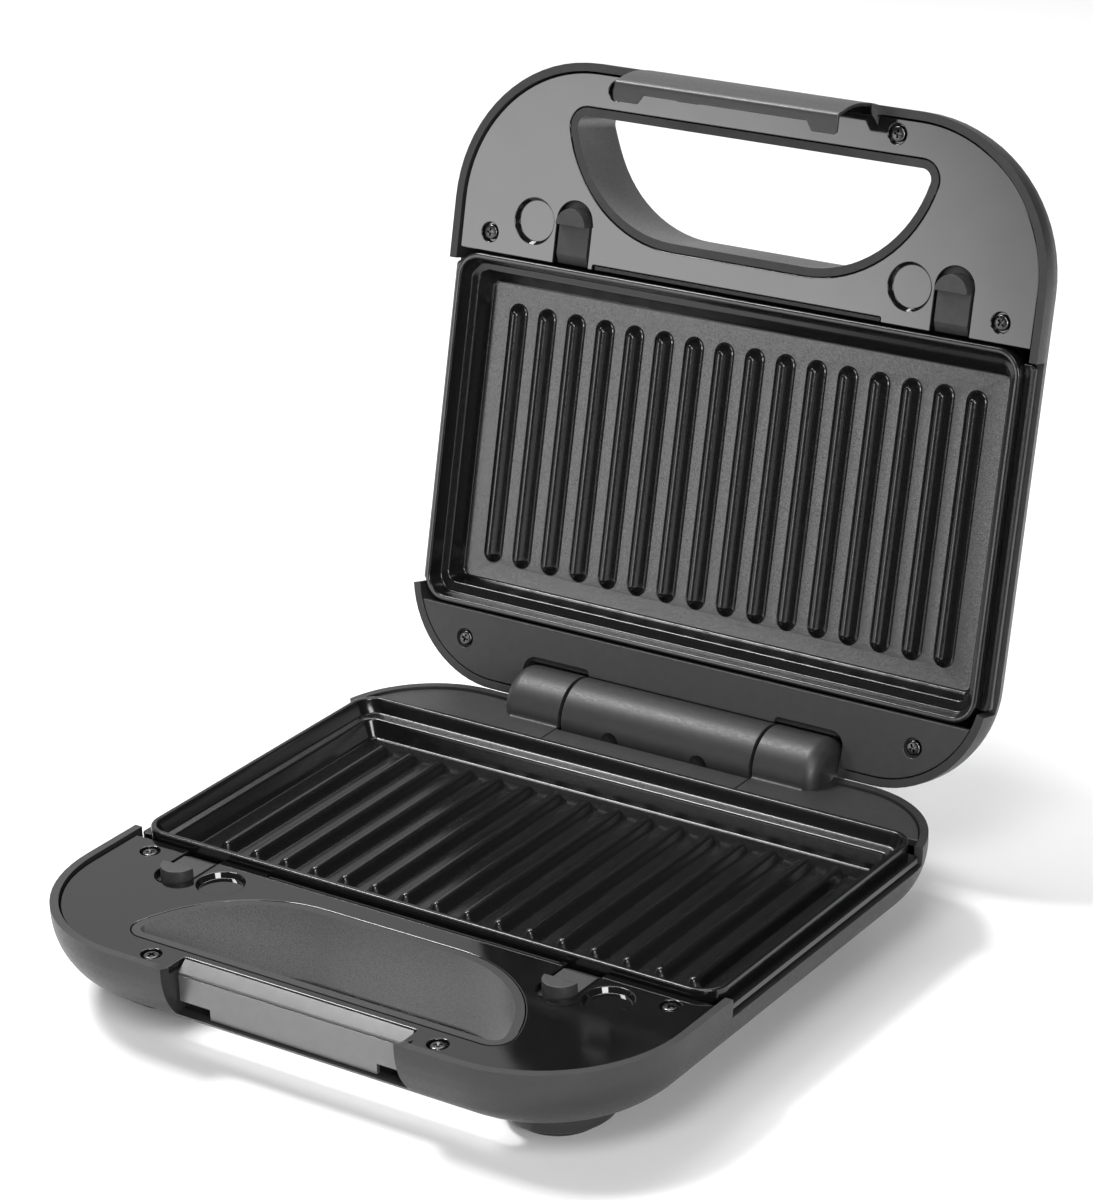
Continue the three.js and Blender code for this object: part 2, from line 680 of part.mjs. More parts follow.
/** Lift-out grill plate: a ribbed pan with a raised rim and a flange along each side. */
function makeGrillPlate() {
  const outside = loft([
    plateRing(...PLATE_UNDERSIDE),
    rimRing(0, PLATE_FLANGE_BOTTOM),
    rimRing(0, PLATE_RIM_TOP),
  ]);
  const pan = loft([
    ...PAN_WALL.map((section) => plateRing(...section)),
    rimRing(PLATE_RIM_WIDTH, PLATE_RIM_TOP + 0.01),
    rimRing(PLATE_RIM_WIDTH, PLATE_RIM_TOP + 3),
  ]);
  const flanges = [-1, 1].map((side) => {
    return box(
      spanX(side, PLATE_HALF_WIDTH - 1, PLATE_FLANGE_HALF_WIDTH),
      [PLATE_BAY_FRONT + 0.8, PLATE_BAY_REAR - 0.8],
      [PLATE_FLANGE_BOTTOM, PLATE_FLANGE_TOP],
    );
  });
  const ribs = Array.from({ length: RIB_COUNT }, (_, i) =>
    makeRib((i - (RIB_COUNT - 1) / 2) * RIB_PITCH),
  );
  return outside.subtract(pan).add(union([...flanges, ...ribs]));
}

/** One rib: a rounded ridge with sloping ends. */
function makeRib(x) {
  const foot = RIB_HALF_WIDTH;
  const levels = [
    [0, -0.5],
    [0, 0],
    [0.38, 0.62],
    [0.72, 1],
  ];
  return loft(
    levels.map(([inset, height]) => {
      const halfWidth = foot * (1 - inset) + 0.2;
      const end = inset * foot * 1.2;
      return ribRing(x, halfWidth, RIB_FRONT + end, RIB_REAR - end, PLATE_FLOOR + height * RIB_HEIGHT);
    }),
  );
}

/** Long narrow hexagon at one level of a rib. */
const ribRing = (x, halfWidth, front, rear, z) => [
  [x + halfWidth, rear - halfWidth, z],
  [x, rear, z],
  [x - halfWidth, rear - halfWidth, z],
  [x - halfWidth, front + halfWidth, z],
  [x, front, z],
  [x + halfWidth, front + halfWidth, z],
];

// ---- release tabs -------------------------------------------------------------------------------

/** Sliding release tab: a raised half-round button, its tongue, and the carrier under the cover. */
function makeTab(x) {
  const carrierTop = COVER_TOP - COVER_THICKNESS - GAP;
  const stem = [TAB_BUTTON_Y - 1, TAB_TONGUE_REAR];
  return union([
    slab(buttonOutline(x), [carrierTop - 1, COVER_TOP + TAB_BUTTON_HEIGHT], 12),
    box([x - TAB_BUTTON_RADIUS, x + TAB_BUTTON_RADIUS], stem, [carrierTop - 1, COVER_TOP - 0.1]),
    box(
      [x - TAB_CARRIER_HALF_WIDTH, x + TAB_CARRIER_HALF_WIDTH],
      [TAB_CARRIER_FRONT, TAB_TONGUE_REAR - 1.5],
      [carrierTop - TAB_CARRIER_DEPTH, carrierTop],
    ),
  ]);
}

const springX = (x) => x + Math.sign(x) * SPRING_OFFSET;

/** Return spring in front of a tab's carrier: a round wire coil along Y. */
function makeSpring(x) {
  const stepsPerTurn = 7;
  const sides = 4;
  const steps = Math.round(SPRING_TURNS * stepsPerTurn);
  const rings = [];
  for (let i = 0; i <= steps; i++) {
    const turn = (i / stepsPerTurn) * 2 * Math.PI;
    const y = THREE.MathUtils.lerp(SPRING_FRONT, SPRING_REAR, i / steps);
    const out = new THREE.Vector3(Math.cos(turn), 0, Math.sin(turn));
    const centre = out.clone().multiplyScalar(SPRING_RADIUS).add(new THREE.Vector3(0, y, 0));
    const around = Array.from({ length: sides }, (_, k) => {
      const angle = (k / sides) * 2 * Math.PI;
      const point = centre.clone().addScaledVector(out, SPRING_WIRE_RADIUS * Math.cos(angle));
      point.y += SPRING_WIRE_RADIUS * Math.sin(angle);
      return [point.x + springX(x), point.y, point.z + SPRING_Z];
    });
    rings.push(around);
  }
  return loft(rings);
}

// ---- latch and catch ----------------------------------------------------------------------------

/** Outer line of the latch clip, from the shell's outside over the rim to the hooked end. */
const LATCH_LINE = [
  [-225.2, -18.6],
  [-228.2, -14],
  [-229.8, -8],
  [-230.2, 0],
  [-229.9, 6],
  [-228.6, 12],
  [-226.6, 16.2],
  [-225.3, LATCH_TOP],
];

/** Curved clip across the lid's front edge, with two hooked feet and two lugs for its pin. */
function makeLatch() {
  const inner = LATCH_LINE.slice(0, -1)
    .map(([y, z]) => [y + LATCH_SHEET, z])
    .reverse();
  const lipBottom = LATCH_TOP - 1.1;
  const lip = [
    [LATCH_LIP_REAR, LATCH_TOP],
    [LATCH_LIP_REAR, lipBottom],
    [LATCH_LIP_REAR - 2.1, lipBottom - 0.1],
  ];
  const clip = bar([...LATCH_LINE, ...lip, ...inner.slice(1)].reverse(), [
    -LATCH_HALF_WIDTH,
    LATCH_HALF_WIDTH,
  ]);
  const feet = [-1, 1].map((side) => {
    const span = spanX(side, LATCH_FOOT_INNER, LATCH_HALF_WIDTH);
    return box(span, [LATCH_LIP_REAR - 0.8, LATCH_FOOT_REAR], [lipBottom, LATCH_TOP]);
  });
  const lugs = [-1, 1].map((side) => {
    const span = spanX(side, LATCH_HALF_WIDTH - LUG_WIDTH, LATCH_HALF_WIDTH);
    const arm = [LATCH_PIVOT_Z - LUG_ARM_HALF_HEIGHT, LATCH_PIVOT_Z + LUG_ARM_HALF_HEIGHT];
    const lug = rod(span, LATCH_PIVOT_Y, LATCH_PIVOT_Z, LUG_RADIUS, 20);
    return lug.add(box(span, [LUG_ARM_FRONT, LATCH_PIVOT_Y], arm));
  });
  return union([clip, ...feet, ...lugs]).subtract(latchRod(THROUGH, LATCH_PIN_RADIUS + GAP));
}

/** Bearing blocks beside the lid's notch that hold the latch pin, and the bores for it. */
const latchBearings = () =>
  [-1, 1].map((side) => {
    const span = spanX(side, NOTCH_HALF_WIDTH, NOTCH_HALF_WIDTH + BEARING_WIDTH);
    const levels = [BEARING_BOTTOM, COVER_TOP - COVER_THICKNESS - GAP];
    return box(span, [BEARING_FRONT, NOTCH_REAR + 1], levels);
  });
const latchRod = (halfLength, radius) =>
  rod([-halfLength, halfLength], LATCH_PIVOT_Y, LATCH_PIVOT_Z, radius, 12);
const latchPinBore = () => latchRod(LATCH_PIN_HALF_LENGTH + 0.4, LATCH_PIN_RADIUS + GAP);

/** Folded sheet catch in the base's notch: a sloped top, an upright face and two hook recesses. */
function makeCatch() {
  const top = COVER_TOP;
  const section = [
    [CATCH_TOP_REAR_Y, top - CATCH_SHEET],
    [CATCH_FACE_Y + CATCH_SHEET, top - CATCH_DROP - CATCH_SHEET * 0.8],
    [CATCH_FACE_Y + CATCH_SHEET, CATCH_BOTTOM],
    [CATCH_FACE_Y, CATCH_BOTTOM],
    [CATCH_FACE_Y, top - CATCH_DROP],
    [CATCH_TOP_REAR_Y, top - 0.1],
  ];
  const corners = [-1, 1].map((side) => {
    const span = spanX(side, LATCH_FOOT_INNER - 0.8, CATCH_HALF_WIDTH + 1);
    return box(span, [CATCH_FACE_Y - 1, CATCH_FACE_Y + 3], [CATCH_BOTTOM - 1, CATCH_FOOT_BOTTOM]);
  });
  return bar(section.reverse(), [-CATCH_HALF_WIDTH, CATCH_HALF_WIDTH]).subtract(union(corners));
}

// ---- heater and wiring --------------------------------------------------------------------------

/** Thin pressed tray that reflects the heat up into the plate. */
function makeTray() {
  const shrunk = (wall, top) =>
    box(
      [-TRAY_HALF_WIDTH + wall, TRAY_HALF_WIDTH - wall],
      [TRAY_FRONT + wall, TRAY_REAR - wall],
      [TRAY_FLOOR + wall, top],
    );
  return shrunk(0, TRAY_TOP).subtract(shrunk(TRAY_WALL, TRAY_TOP + 1));
}

/** Tubular heating element bent into a U inside the tray. */
function makeElement() {
  const middle = (TRAY_FRONT + TRAY_REAR) / 2;
  const path = new THREE.CurvePath();
  const straightEnd = ELEMENT_HALF_WIDTH - ELEMENT_BEND;
  const front = middle - ELEMENT_BEND;
  const rear = middle + ELEMENT_BEND;
  const at = (x, y) => new THREE.Vector3(x, y, ELEMENT_Z);
  const bend = ELEMENT_BEND_REACH;
  path.add(new THREE.LineCurve3(at(-ELEMENT_HALF_WIDTH, front), at(straightEnd, front)));
  path.add(
    new THREE.CubicBezierCurve3(
      at(straightEnd, front),
      at(straightEnd + bend, front),
      at(straightEnd + bend, rear),
      at(straightEnd, rear),
    ),
  );
  path.add(new THREE.LineCurve3(at(straightEnd, rear), at(-ELEMENT_HALF_WIDTH, rear)));
  const section = new THREE.Shape();
  section.absarc(0, 0, ELEMENT_RADIUS, 0, 2 * Math.PI);
  return solid(
    new THREE.ExtrudeGeometry(section, { steps: 24, curveSegments: 4, extrudePath: path }),
  );
}

/** Bimetal thermostat: a round can with two terminal blades. */
function makeThermostat() {
  const middle = (TRAY_FRONT + TRAY_REAR) / 2;
  const floor = TRAY_FLOOR + TRAY_WALL + GAP;
  const [length, width, thickness] = THERMOSTAT_BLADES;
  return union([
    post(THERMOSTAT_X, middle, THERMOSTAT_RADIUS, [floor, THERMOSTAT_TOP], 20),
    box(
      [THERMOSTAT_X - length / 2, THERMOSTAT_X + length / 2],
      [middle - width / 2, middle + width / 2],
      [floor, floor + thickness],
    ),
  ]);
}

/** Thermal fuse: a slim capsule between two wires. */
function makeThermalFuse() {
  const middle = (TRAY_FRONT + TRAY_REAR) / 2;
  const length = (half) => [FUSE_X - half, FUSE_X + half];
  const capsule = rod(length(FUSE_HALF_LENGTH), middle, FUSE_Z, FUSE_RADIUS, 10);
  return capsule.add(rod(length(FUSE_WIRE_HALF_LENGTH), middle, FUSE_Z, FUSE_WIRE_RADIUS, 6));
}

/** Ceramic terminal block where the mains lead joins the wiring. */
function makeTerminalBlock() {
  const [, [front, rear], [, top]] = TERMINAL_BLOCK;
  const levels = [TERMINAL_HOLE_BOTTOM, top + 1];
  const holes = TERMINAL_HOLES_X.map((x) =>
    post(x, (front + rear) / 2, TERMINAL_HOLE_RADIUS, levels, 8),
  );
  return box(...TERMINAL_BLOCK).subtract(union(holes));
}

/** A turned part about an axis along Y, from [radius, y] points. */
function turnedAlongY(profile, x, z, sides = 16) {
  const points = profile.map(([radius, y]) => new THREE.Vector2(radius, y));
  return solid(new THREE.LatheGeometry(points, sides).translate(x, 0, z));
}

/** Sleeve in the base's rear wall that the mains lead passes through. */
function makeCordGland() {
  const inside = GLAND_FACE - GLAND_BOSS_DEPTH - GAP;
  const tail = GLAND_FACE + GLAND_LENGTH;
  const profile = [
    [GLAND_BORE, tail],
    [GLAND_BORE, inside - GLAND_LIP],
    [GLAND_LIP_RADIUS, inside - GLAND_LIP],
    [GLAND_LIP_RADIUS, inside],
    [GLAND_NECK, inside],
    [GLAND_NECK, GLAND_FACE + GAP],
    [GLAND_COLLAR_RADIUS, GLAND_FACE + GAP],
    [GLAND_COLLAR_RADIUS - 0.6, GLAND_FACE + 4],
    [GLAND_NECK, tail],
    [GLAND_BORE, tail],
  ];
  return turnedAlongY(profile, GLAND_X, GLAND_Z);
}

/** Flat-ended boss on the rear wall that the gland clips into, and its bore. */
function glandPlug(radius, [y0, y1], sides) {
  const profile = [
    [0, y0],
    [radius, y0],
    [radius, y1],
    [0, y1],
  ];
  return turnedAlongY(profile, GLAND_X, GLAND_Z, sides);
}
const glandBoss = () => glandPlug(GLAND_BOSS_RADIUS, [GLAND_FACE - GLAND_BOSS_DEPTH, GLAND_FACE], 20);
const glandBore = () => glandPlug(GLAND_NECK + GAP, [-30, 5], 16);

/** Flat indicator lens that plugs into the lid's outer face. */
function makeLens(x) {
  const top = SHELL_BOTTOM + LENS_DEPTH;
  const flangeBottom = SHELL_BOTTOM + SHELL_WALL + GAP;
  const plug = post(x, LENS_Y, LENS_RADIUS, [SHELL_BOTTOM + LENS_SET_BACK, top]);
  return plug.add(post(x, LENS_Y, LENS_FLANGE_RADIUS, [flangeBottom, top]));
}

/** Pan-head cross-recess screw driven down at a cover's recess. */
function makeScrew([x, y], coverTop) {
  const seat = coverTop - SCREW_RECESS_DEPTH + 0.1;
  const head = post(x, y, SCREW_HEAD_RADIUS, [seat, seat + SCREW_HEAD_HEIGHT], 14);
  const shank = post(x, y, SCREW_SHANK_RADIUS, [seat - SCREW_LENGTH, seat + 0.01], 8);
  const slots = [0, Math.PI / 2].map((angle) => {
    const geometry = new THREE.BoxGeometry(...SCREW_SLOT);
    return solid(geometry.rotateZ(angle).translate(x, y, seat + SCREW_HEAD_HEIGHT));
  });
  return head.add(shank).subtract(union(slots));
}

/** Rubber pad under a foot boss. */
function makeFootPad([x, y]) {
  const radii = [FOOT_PAD_RADIUS, FOOT_PAD_RADIUS - 1.2];
  const geometry = new THREE.CylinderGeometry(...radii, FOOT_PAD_HEIGHT, 24);
  return solid(geometry.rotateX(Math.PI / 2).translate(x, y, FOOT_BOTTOM + FOOT_PAD_HEIGHT / 2));
}

// ---- assembly -----------------------------------------------------------------------------------

/** Pieces that the base and the lid have alike, in the half frame. */
function addCommonPieces(group, half, frontCover, screws) {
  group.add(piece(`${half}_front_cover`, frontCover, MATERIAL.frontCover));
  group.add(piece(`${half}_grill_plate`, makeGrillPlate(), MATERIAL.plate));
  group.add(piece(`${half}_heater_tray`, makeTray(), MATERIAL.aluminium));
  group.add(piece(`${half}_heating_element`, makeElement(), MATERIAL.steel));
  group.add(piece(`${half}_thermostat`, makeThermostat(), MATERIAL.ceramic));
  // The lid is turned over, so what stands on the half frame's right is on the lid's left.
  TAB_X.forEach((x, i) => {
    const side = (half === "base") === (i === 0) ? "left" : "right";
    group.add(piece(`${half}_release_tab_${side}`, makeTab(x), MATERIAL.tab));
    group.add(piece(`${half}_tab_spring_${side}`, makeSpring(x), MATERIAL.steel));
  });
  for (const { place, at, coverTop } of screws) {
    group.add(piece(`${half}_screw_${place}`, makeScrew(at, coverTop), MATERIAL.screw));
  }
}

/** Names a mirrored pair of screws by side, seen from the front. */
const screwPair = (name, at, coverTop, turnedOver) =>
  bothSides(at).map(([x, y]) => ({
    place: `${name}_${x < 0 !== turnedOver ? "left" : "right"}`,
    at: [x, y],
    coverTop,
  }));

function makeBase() {
  const base = new THREE.Group();
  const feet = [...bothSides([FOOT_X, FRONT_FOOT_Y]), ...bothSides([FOOT_X, REAR_FOOT_Y])];
  const footNames = ["front_left", "front_right", "rear_left", "rear_right"];
  const shell = makeShell({
    frontRadius: BASE_FRONT_RADIUS,
    rearTop: BASE_REAR_TOP - GAP,
    screws: [SIDE_SCREW, LATCH_SCREW].flatMap(bothSides),
    hingeZ: HINGE_Z,
    latchBearings: [],
    outsideBosses: [...feet.map(footBoss), glandBoss()],
    extraCuts: [glandBore()],
  });
  base.add(piece("base_shell", shell, MATERIAL.shell));
  addCommonPieces(base, "base", makeFrontCover(BASE_FRONT_RADIUS, NOTCH_REAR), [
    ...screwPair("side", SIDE_SCREW, COVER_TOP, false),
    ...screwPair("front", LATCH_SCREW, COVER_TOP, false),
  ]);
  base.add(piece("base_knuckle_cover_left", makeKnuckleCover(-1), MATERIAL.rearCover));
  base.add(piece("base_knuckle_cover_right", makeKnuckleCover(1), MATERIAL.rearCover));
  base.add(piece("base_centre_strip", makeCentreStrip(), MATERIAL.rearCover));
  base.add(piece("latch_catch", makeCatch(), MATERIAL.catch));
  const pin = rod([-PIN_HALF_LENGTH, PIN_HALF_LENGTH], HINGE_Y, HINGE_Z, PIN_RADIUS, 20);
  base.add(piece("hinge_pin", pin, MATERIAL.steel));
  base.add(piece("thermal_fuse", makeThermalFuse(), MATERIAL.steel));
  base.add(piece("terminal_block", makeTerminalBlock(), MATERIAL.ceramic));
  base.add(piece("cord_gland", makeCordGland(), MATERIAL.rubber));
  feet.forEach((at, i) => {
    base.add(piece(`foot_${footNames[i]}`, makeFootPad(at), MATERIAL.rubber));
  });
  return base;
}

function makeLid() {
  const half = new THREE.Group();
  const shell = makeShell({
    frontRadius: LID_FRONT_RADIUS,
    rearTop: LID_REAR_TOP - 1,
    screws: [SIDE_SCREW, LATCH_SCREW, REAR_SCREW].flatMap(bothSides),
    hingeZ: -HINGE_Z,
    latchBearings: latchBearings(),
    outsideBosses: [],
    extraCuts: [
      latchPinBore(),
      ...LENS_X.map((x) => post(x, LENS_Y, LENS_RADIUS + GAP, [SHELL_BOTTOM - 1, SHELL_BOTTOM + 5])),
    ],
  });
  half.add(piece("lid_shell", shell, MATERIAL.shell));
  addCommonPieces(half, "lid", makeFrontCover(LID_FRONT_RADIUS, LID_COVER_NOTCH_REAR), [
    ...screwPair("side", SIDE_SCREW, COVER_TOP, true),
    ...screwPair("front", LATCH_SCREW, COVER_TOP, true),
    ...screwPair("rear", REAR_SCREW, LID_REAR_TOP, true),
  ]);
  half.add(piece("lid_rear_cover", makeLidRearCover(), MATERIAL.rearCover));
  half.add(piece("hinge_barrel", makeBarrel(), MATERIAL.rearCover));
  half.add(piece("latch", makeLatch(), MATERIAL.latch));
  const pin = latchRod(LATCH_PIN_HALF_LENGTH, LATCH_PIN_RADIUS);
  half.add(piece("latch_pin", pin, MATERIAL.steel));
  half.add(piece("power_lens", makeLens(LENS_X[1]), MATERIAL.lens));
  half.add(piece("ready_lens", makeLens(LENS_X[0]), MATERIAL.lens));
  return half;
}

/** The lid half turned over onto the base, then swung open about the hinge axis. */
function hangLid(half) {
  half.rotation.y = Math.PI;
  half.position.set(0, -HINGE_Y, -HINGE_Z);
  const hinge = new THREE.Group();
  hinge.position.set(0, HINGE_Y, HINGE_Z);
  hinge.rotation.x = -THREE.MathUtils.degToRad(LID_OPEN_DEGREES);
  hinge.add(half);
  return hinge;
}

const press = new THREE.Group();
press.name = "panini_press";
press.add(makeBase());
press.add(hangLid(makeLid()));

// The origin is on the ground, under the middle of the whole open press.
press.updateMatrixWorld(true);
const extent = new THREE.Box3().setFromObject(press, true);
press.position.set(0, -(extent.min.y + extent.max.y) / 2, -extent.min.z);

export default press;
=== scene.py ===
"""Looks of a two-plate panini press: detailed pieces, materials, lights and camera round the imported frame.

Each half of the press is drawn in its own half frame, in millimetres: X runs across, Y towards the hinge and
Z towards the other half, with Z = 0 where the closed halves meet. to_base and to_lid carry a half into the
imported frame.
"""

import json
import math

import bmesh
import bpy
from mathutils import Matrix, Vector
from mathutils.geometry import delaunay_2d_cdt


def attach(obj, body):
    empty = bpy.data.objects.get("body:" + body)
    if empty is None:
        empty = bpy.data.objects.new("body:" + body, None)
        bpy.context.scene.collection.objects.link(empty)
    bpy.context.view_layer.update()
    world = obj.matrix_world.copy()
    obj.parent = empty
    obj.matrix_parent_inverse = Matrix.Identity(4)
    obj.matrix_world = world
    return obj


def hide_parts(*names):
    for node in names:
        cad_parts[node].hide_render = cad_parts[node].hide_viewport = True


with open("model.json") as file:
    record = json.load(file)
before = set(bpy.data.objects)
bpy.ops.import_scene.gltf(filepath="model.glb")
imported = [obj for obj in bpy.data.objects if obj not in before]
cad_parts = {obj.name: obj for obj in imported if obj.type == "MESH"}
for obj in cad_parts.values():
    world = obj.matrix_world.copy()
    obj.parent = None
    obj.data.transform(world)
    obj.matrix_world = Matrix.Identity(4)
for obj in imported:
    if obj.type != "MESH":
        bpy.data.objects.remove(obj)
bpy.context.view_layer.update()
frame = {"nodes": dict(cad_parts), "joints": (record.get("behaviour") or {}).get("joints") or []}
nodes = frame["nodes"]
joints = {joint["name"]: joint for joint in frame["joints"]}

# ---- half frames ----
MM = 0.001
HINGE_Y = -0.8
HINGE_Z = -2.0
hinge = Vector(joints["lid_hinge"]["pos_m"])
open_angle = math.radians(-joints["lid_hinge"]["range_deg"][0])
to_hinge = Matrix.Translation(hinge) @ Matrix.Scale(MM, 4)
from_half = Matrix.Translation((0, -HINGE_Y, -HINGE_Z))
to_base = to_hinge @ from_half
to_lid = to_hinge @ Matrix.Rotation(-open_angle, 4, "X") @ from_half @ Matrix.Rotation(math.pi, 4, "Y")

PIECE_SUFFIX = "_detail"  # keeps a piece's name apart from its CAD node's

# ---- sizes, in millimetres ----
# Shell outline and its rounded side
HALF_WIDTH = 119.2
FRONT = -229.9
REAR = -0.8
FRONT_CORNER = {"base": 51.0, "lid": 54.5}
REAR_RADIUS = 40
COVER_TOP = -3
SHELL_DEPTH = 28
SHELL_BOTTOM = COVER_TOP - SHELL_DEPTH
SHELL_ROUND = 35
SHELL_POWER = 2.2
SHELL_WALL = 2.9
SHELL_EDGE = 0.55
SIDE_TOP = -8.5
BAY_FRONT = -153.4
BAY_REAR = -33.0
RIM_PROUD = 1.1
BASE_REAR_TOP = -2.7
LID_REAR_TOP = 0.6
RING_INSET_END = 12.5  # the rings round the side stop here, and the underside is filled inside them
COLUMN_STEP = 5.0  # millimetres along the sides and degrees round the corners
TOUCH = 0.01  # places closer than this are taken as one
RING_COUNT = 14
RING_GAP = 0.03  # radians that an evenly spaced ring keeps from one at a marked depth
FILL_INSETS = (16, 20, 24, 28, 31.5, SHELL_ROUND)  # loose points here carry the underside's curve
FILL_MARGIN = 1.5  # how far the loose points keep from the holes
BASE_REAR_RIM = BASE_REAR_TOP + 0.9
LID_REAR_RIM = LID_REAR_TOP - 0.1

# Handle opening
HANDLE_ARC = (26.5, -217.5, 49.0)
HANDLE_CORNER = (67.3, -207.5, 7.0)
HANDLE_CORNER_ANGLE = math.degrees(math.atan2(10, 40.8))
WELL_INSET = 3.3
WELL_FILLET = 2.6
WELL_FILLET_STEPS = 5
WELL_WALL_ROWS = 6

# Front notch, and the saddle cut for the hinge
NOTCH_HALF_WIDTH = 45.6
NOTCH_REAR = -217.4
NOTCH_BOTTOM = -20.5
SADDLE_HALF_WIDTH = 65.8
SADDLE_DROP = 13.9
SADDLE_END_DEGREES = 76
SADDLE_STEPS = 10
BARREL_RADIUS = 13.1
BARREL_HALF_LENGTH = 39.2
BARREL_HOLE_X = 18.4
BARREL_HOLE_RADIUS = 3.5
BARREL_HOLE_DEGREES = 6.5
BARREL_HOLE_DEPTH = 4
KNUCKLE_INNER = 40.4
KNUCKLE_OUTER = 65.0
KNUCKLE_ROUND = 5.0
KNUCKLE_COVE = 1.0

# Covers
COVER_INSET = 3.5
COVER_THICKNESS = 2.4
COVER_REAR = -157.6
COVER_STEP_HALF_WIDTH = 58.5
COVER_STEP = 1.9
COVER_EDGE = 0.35
COVER_CORNER = 0.8
COVER_UNDER = COVER_TOP - COVER_THICKNESS - 0.3  # just clear of the front covers' undersides
REAR_COVER_FRONT = -27.7
REAR_COVER_INSET = 3.3
STRIP_REAR = -15.3
STRIP_GAP = 0.3
STRIP_CORNER = 0.5
LID_COVER_KNUCKLE_GAP = 1.5
LID_COVER_KNUCKLE_FRONT = -16.2
LID_COVER_BARREL_FRONT = -14.05
LEDGE_HALF_WIDTH = 57.9
LEDGE_FRONT_GAP = 0.35
LEDGE_REAR_GAP = 0.3
LEDGE_BOTTOM = SHELL_BOTTOM + 2
LEDGE_TOP = COVER_TOP - 0.7
LEDGE_SHELF_REAR = BAY_FRONT + 2.4
LEDGE_SHELF = SHELL_BOTTOM + 6
LEDGE_SHELF_THICKNESS = 1.5
DIMPLE_X = (-68.0, 85.0)
DIMPLE_Y = -171.3
DIMPLE_RADIUS = 8.3
DIMPLE_FLOOR_RADIUS = 7.35
DIMPLE_DEPTH = 1.9
TAB_X = (-85.0, 68.0)
SLOT_HALF_WIDTH = 7.3
SLOT_FRONT = -180.8
BUTTON_RADIUS = 6.3
BUTTON_Y = -172.0
BUTTON_HEIGHT = 3.1
TONGUE_REAR = -157.9
TONGUE_BEND = -161.4
TAB_EDGE = 0.3
CARRIER_HALF_WIDTH = 7.6
CARRIER_FRONT = -177.6
CARRIER_REAR = -159.4
CARRIER_THICKNESS = 3
CARRIER_LIP_HALF_WIDTH = 7.2
CARRIER_LIP_FRONT = -181.6
CARRIER_LIP_REAR = -176
CARRIER_LIP_THICKNESS = 0.5

# Screws
SIDE_SCREW = (103.5, -164.7)
FRONT_SCREW = (56.2, -221.3)
REAR_SCREW = (93.3, -17.0)
RECESS_RADIUS = 3.5
RECESS_DEPTH = 1.7
HEAD_RADIUS = 2.75
HEAD_SIDE = 0.75
HEAD_CROWN = 0.75
HEAD_ROUND = 0.9
CROSS_HALF_WIDTH = 0.45
CROSS_HALF_LENGTH = 1.75
CROSS_DEPTH = 0.9
CROSS_TAPER = 0.6  # size of the cross at its bottom, as a share of its size at the top

# Grill plates
PLATE_HALF_WIDTH = 114.3
PLATE_FRONT = -156.8
PLATE_REAR = -28.6
PLATE_RADIUS = 9.0
PLATE_RIM_TOP = -0.15
PLATE_RIM_WIDTH = 2.0
PLATE_FLOOR = -12.8
PLATE_EDGE = 0.6
# The pan's wall from under its lip to its floor: half width, front, rear, corner radius and height
PLATE_WALL = (
    (110.95, -153.2, -31.3, 6.6, -5.2),
    (110.7, -153.0, -31.6, 6.4, -5.5),
    (110.3, -152.6, -32.0, 6.1, -5.66),
    (108.9, -151.2, -34.6, 4.8, -6.1),
    (108.5, -150.8, -35.0, 4.4, -6.25),
    (108.2, -150.5, -35.25, 4.2, -6.55),
    (108.05, -150.3, -35.4, 4.0, -7.0),
    (106.0, -147.2, -36.7, 3.0, -11.9),
    (105.75, -146.9, -36.95, 2.7, -12.45),
    (105.4, -146.5, -37.3, 2.4, -12.72),
    (104.9, -146.0, -37.8, 2.0, PLATE_FLOOR),
)
PLATE_UNDERSIDE = (PLATE_HALF_WIDTH - 7.5, -148, -35.6, 5)
PLATE_UNDERSIDE_DROP = 2.5
FLANGE_INNER = 113
FLANGE_OUTER = 117.7
FLANGE_GAP = 0.9
FLANGE_BOTTOM = -7
FLANGE_TOP = -4.6
RIB_COUNT = 16
RIB_PITCH = 12.5
RIB_HEIGHT = 3.7
RIB_FOOT = 4.2
RIB_FRONT = -139.9
RIB_REAR = -43.6
# Section of a rib from its foot to its crest, as (inset, rise): a cove, a steep side and a rounded top
RIB_SECTION = (
    (0, 0),
    (0.4, 0.06),
    (0.78, 0.26),
    (1.12, 0.6),
    (1.75, 1.6),
    (2.35, 2.56),
    (2.65, 2.98),
    (2.95, 3.3),
    (3.3, 3.53),
    (3.7, 3.66),
    (3.95, RIB_HEIGHT),
)

# Latch and catch
LATCH_HALF_WIDTH = 44.5
LATCH_SHEET = 1.2
LATCH_BACK = ((-225.2, -18.6), (-228.2, -14), (-229.8, -8), (-230.2, 0), (-229.9, 6), (-228.6, 12))
LATCH_BEND = (-226.9, 16.3)
LATCH_BEND_CENTRE = (-225.3, 16.1)
LATCH_BEND_RADIUS = 1.8
LIP_Z = 17.9
LIP_REAR = -222.6
LATCH_FOOT_REAR = -219.4
LATCH_FOOT_SLOPE = 2.2
LATCH_CORNER = 0.8
LUG_Y = -222.4
LUG_Z = -10
LUG_RADIUS = 3.6
LUG_LENGTH = 1.8
LUG_EDGE = 0.2
FOOT_INNER = 34.8
CATCH_HALF_WIDTH = 44.9
CATCH_FACE = -222.1
CATCH_DROP = 3.2
CATCH_BOTTOM = -20.1
CATCH_FOOT_BOTTOM = -16.3
CATCH_FOOT_INNER = FOOT_INNER - 2.0
CATCH_SHEET = 1.4

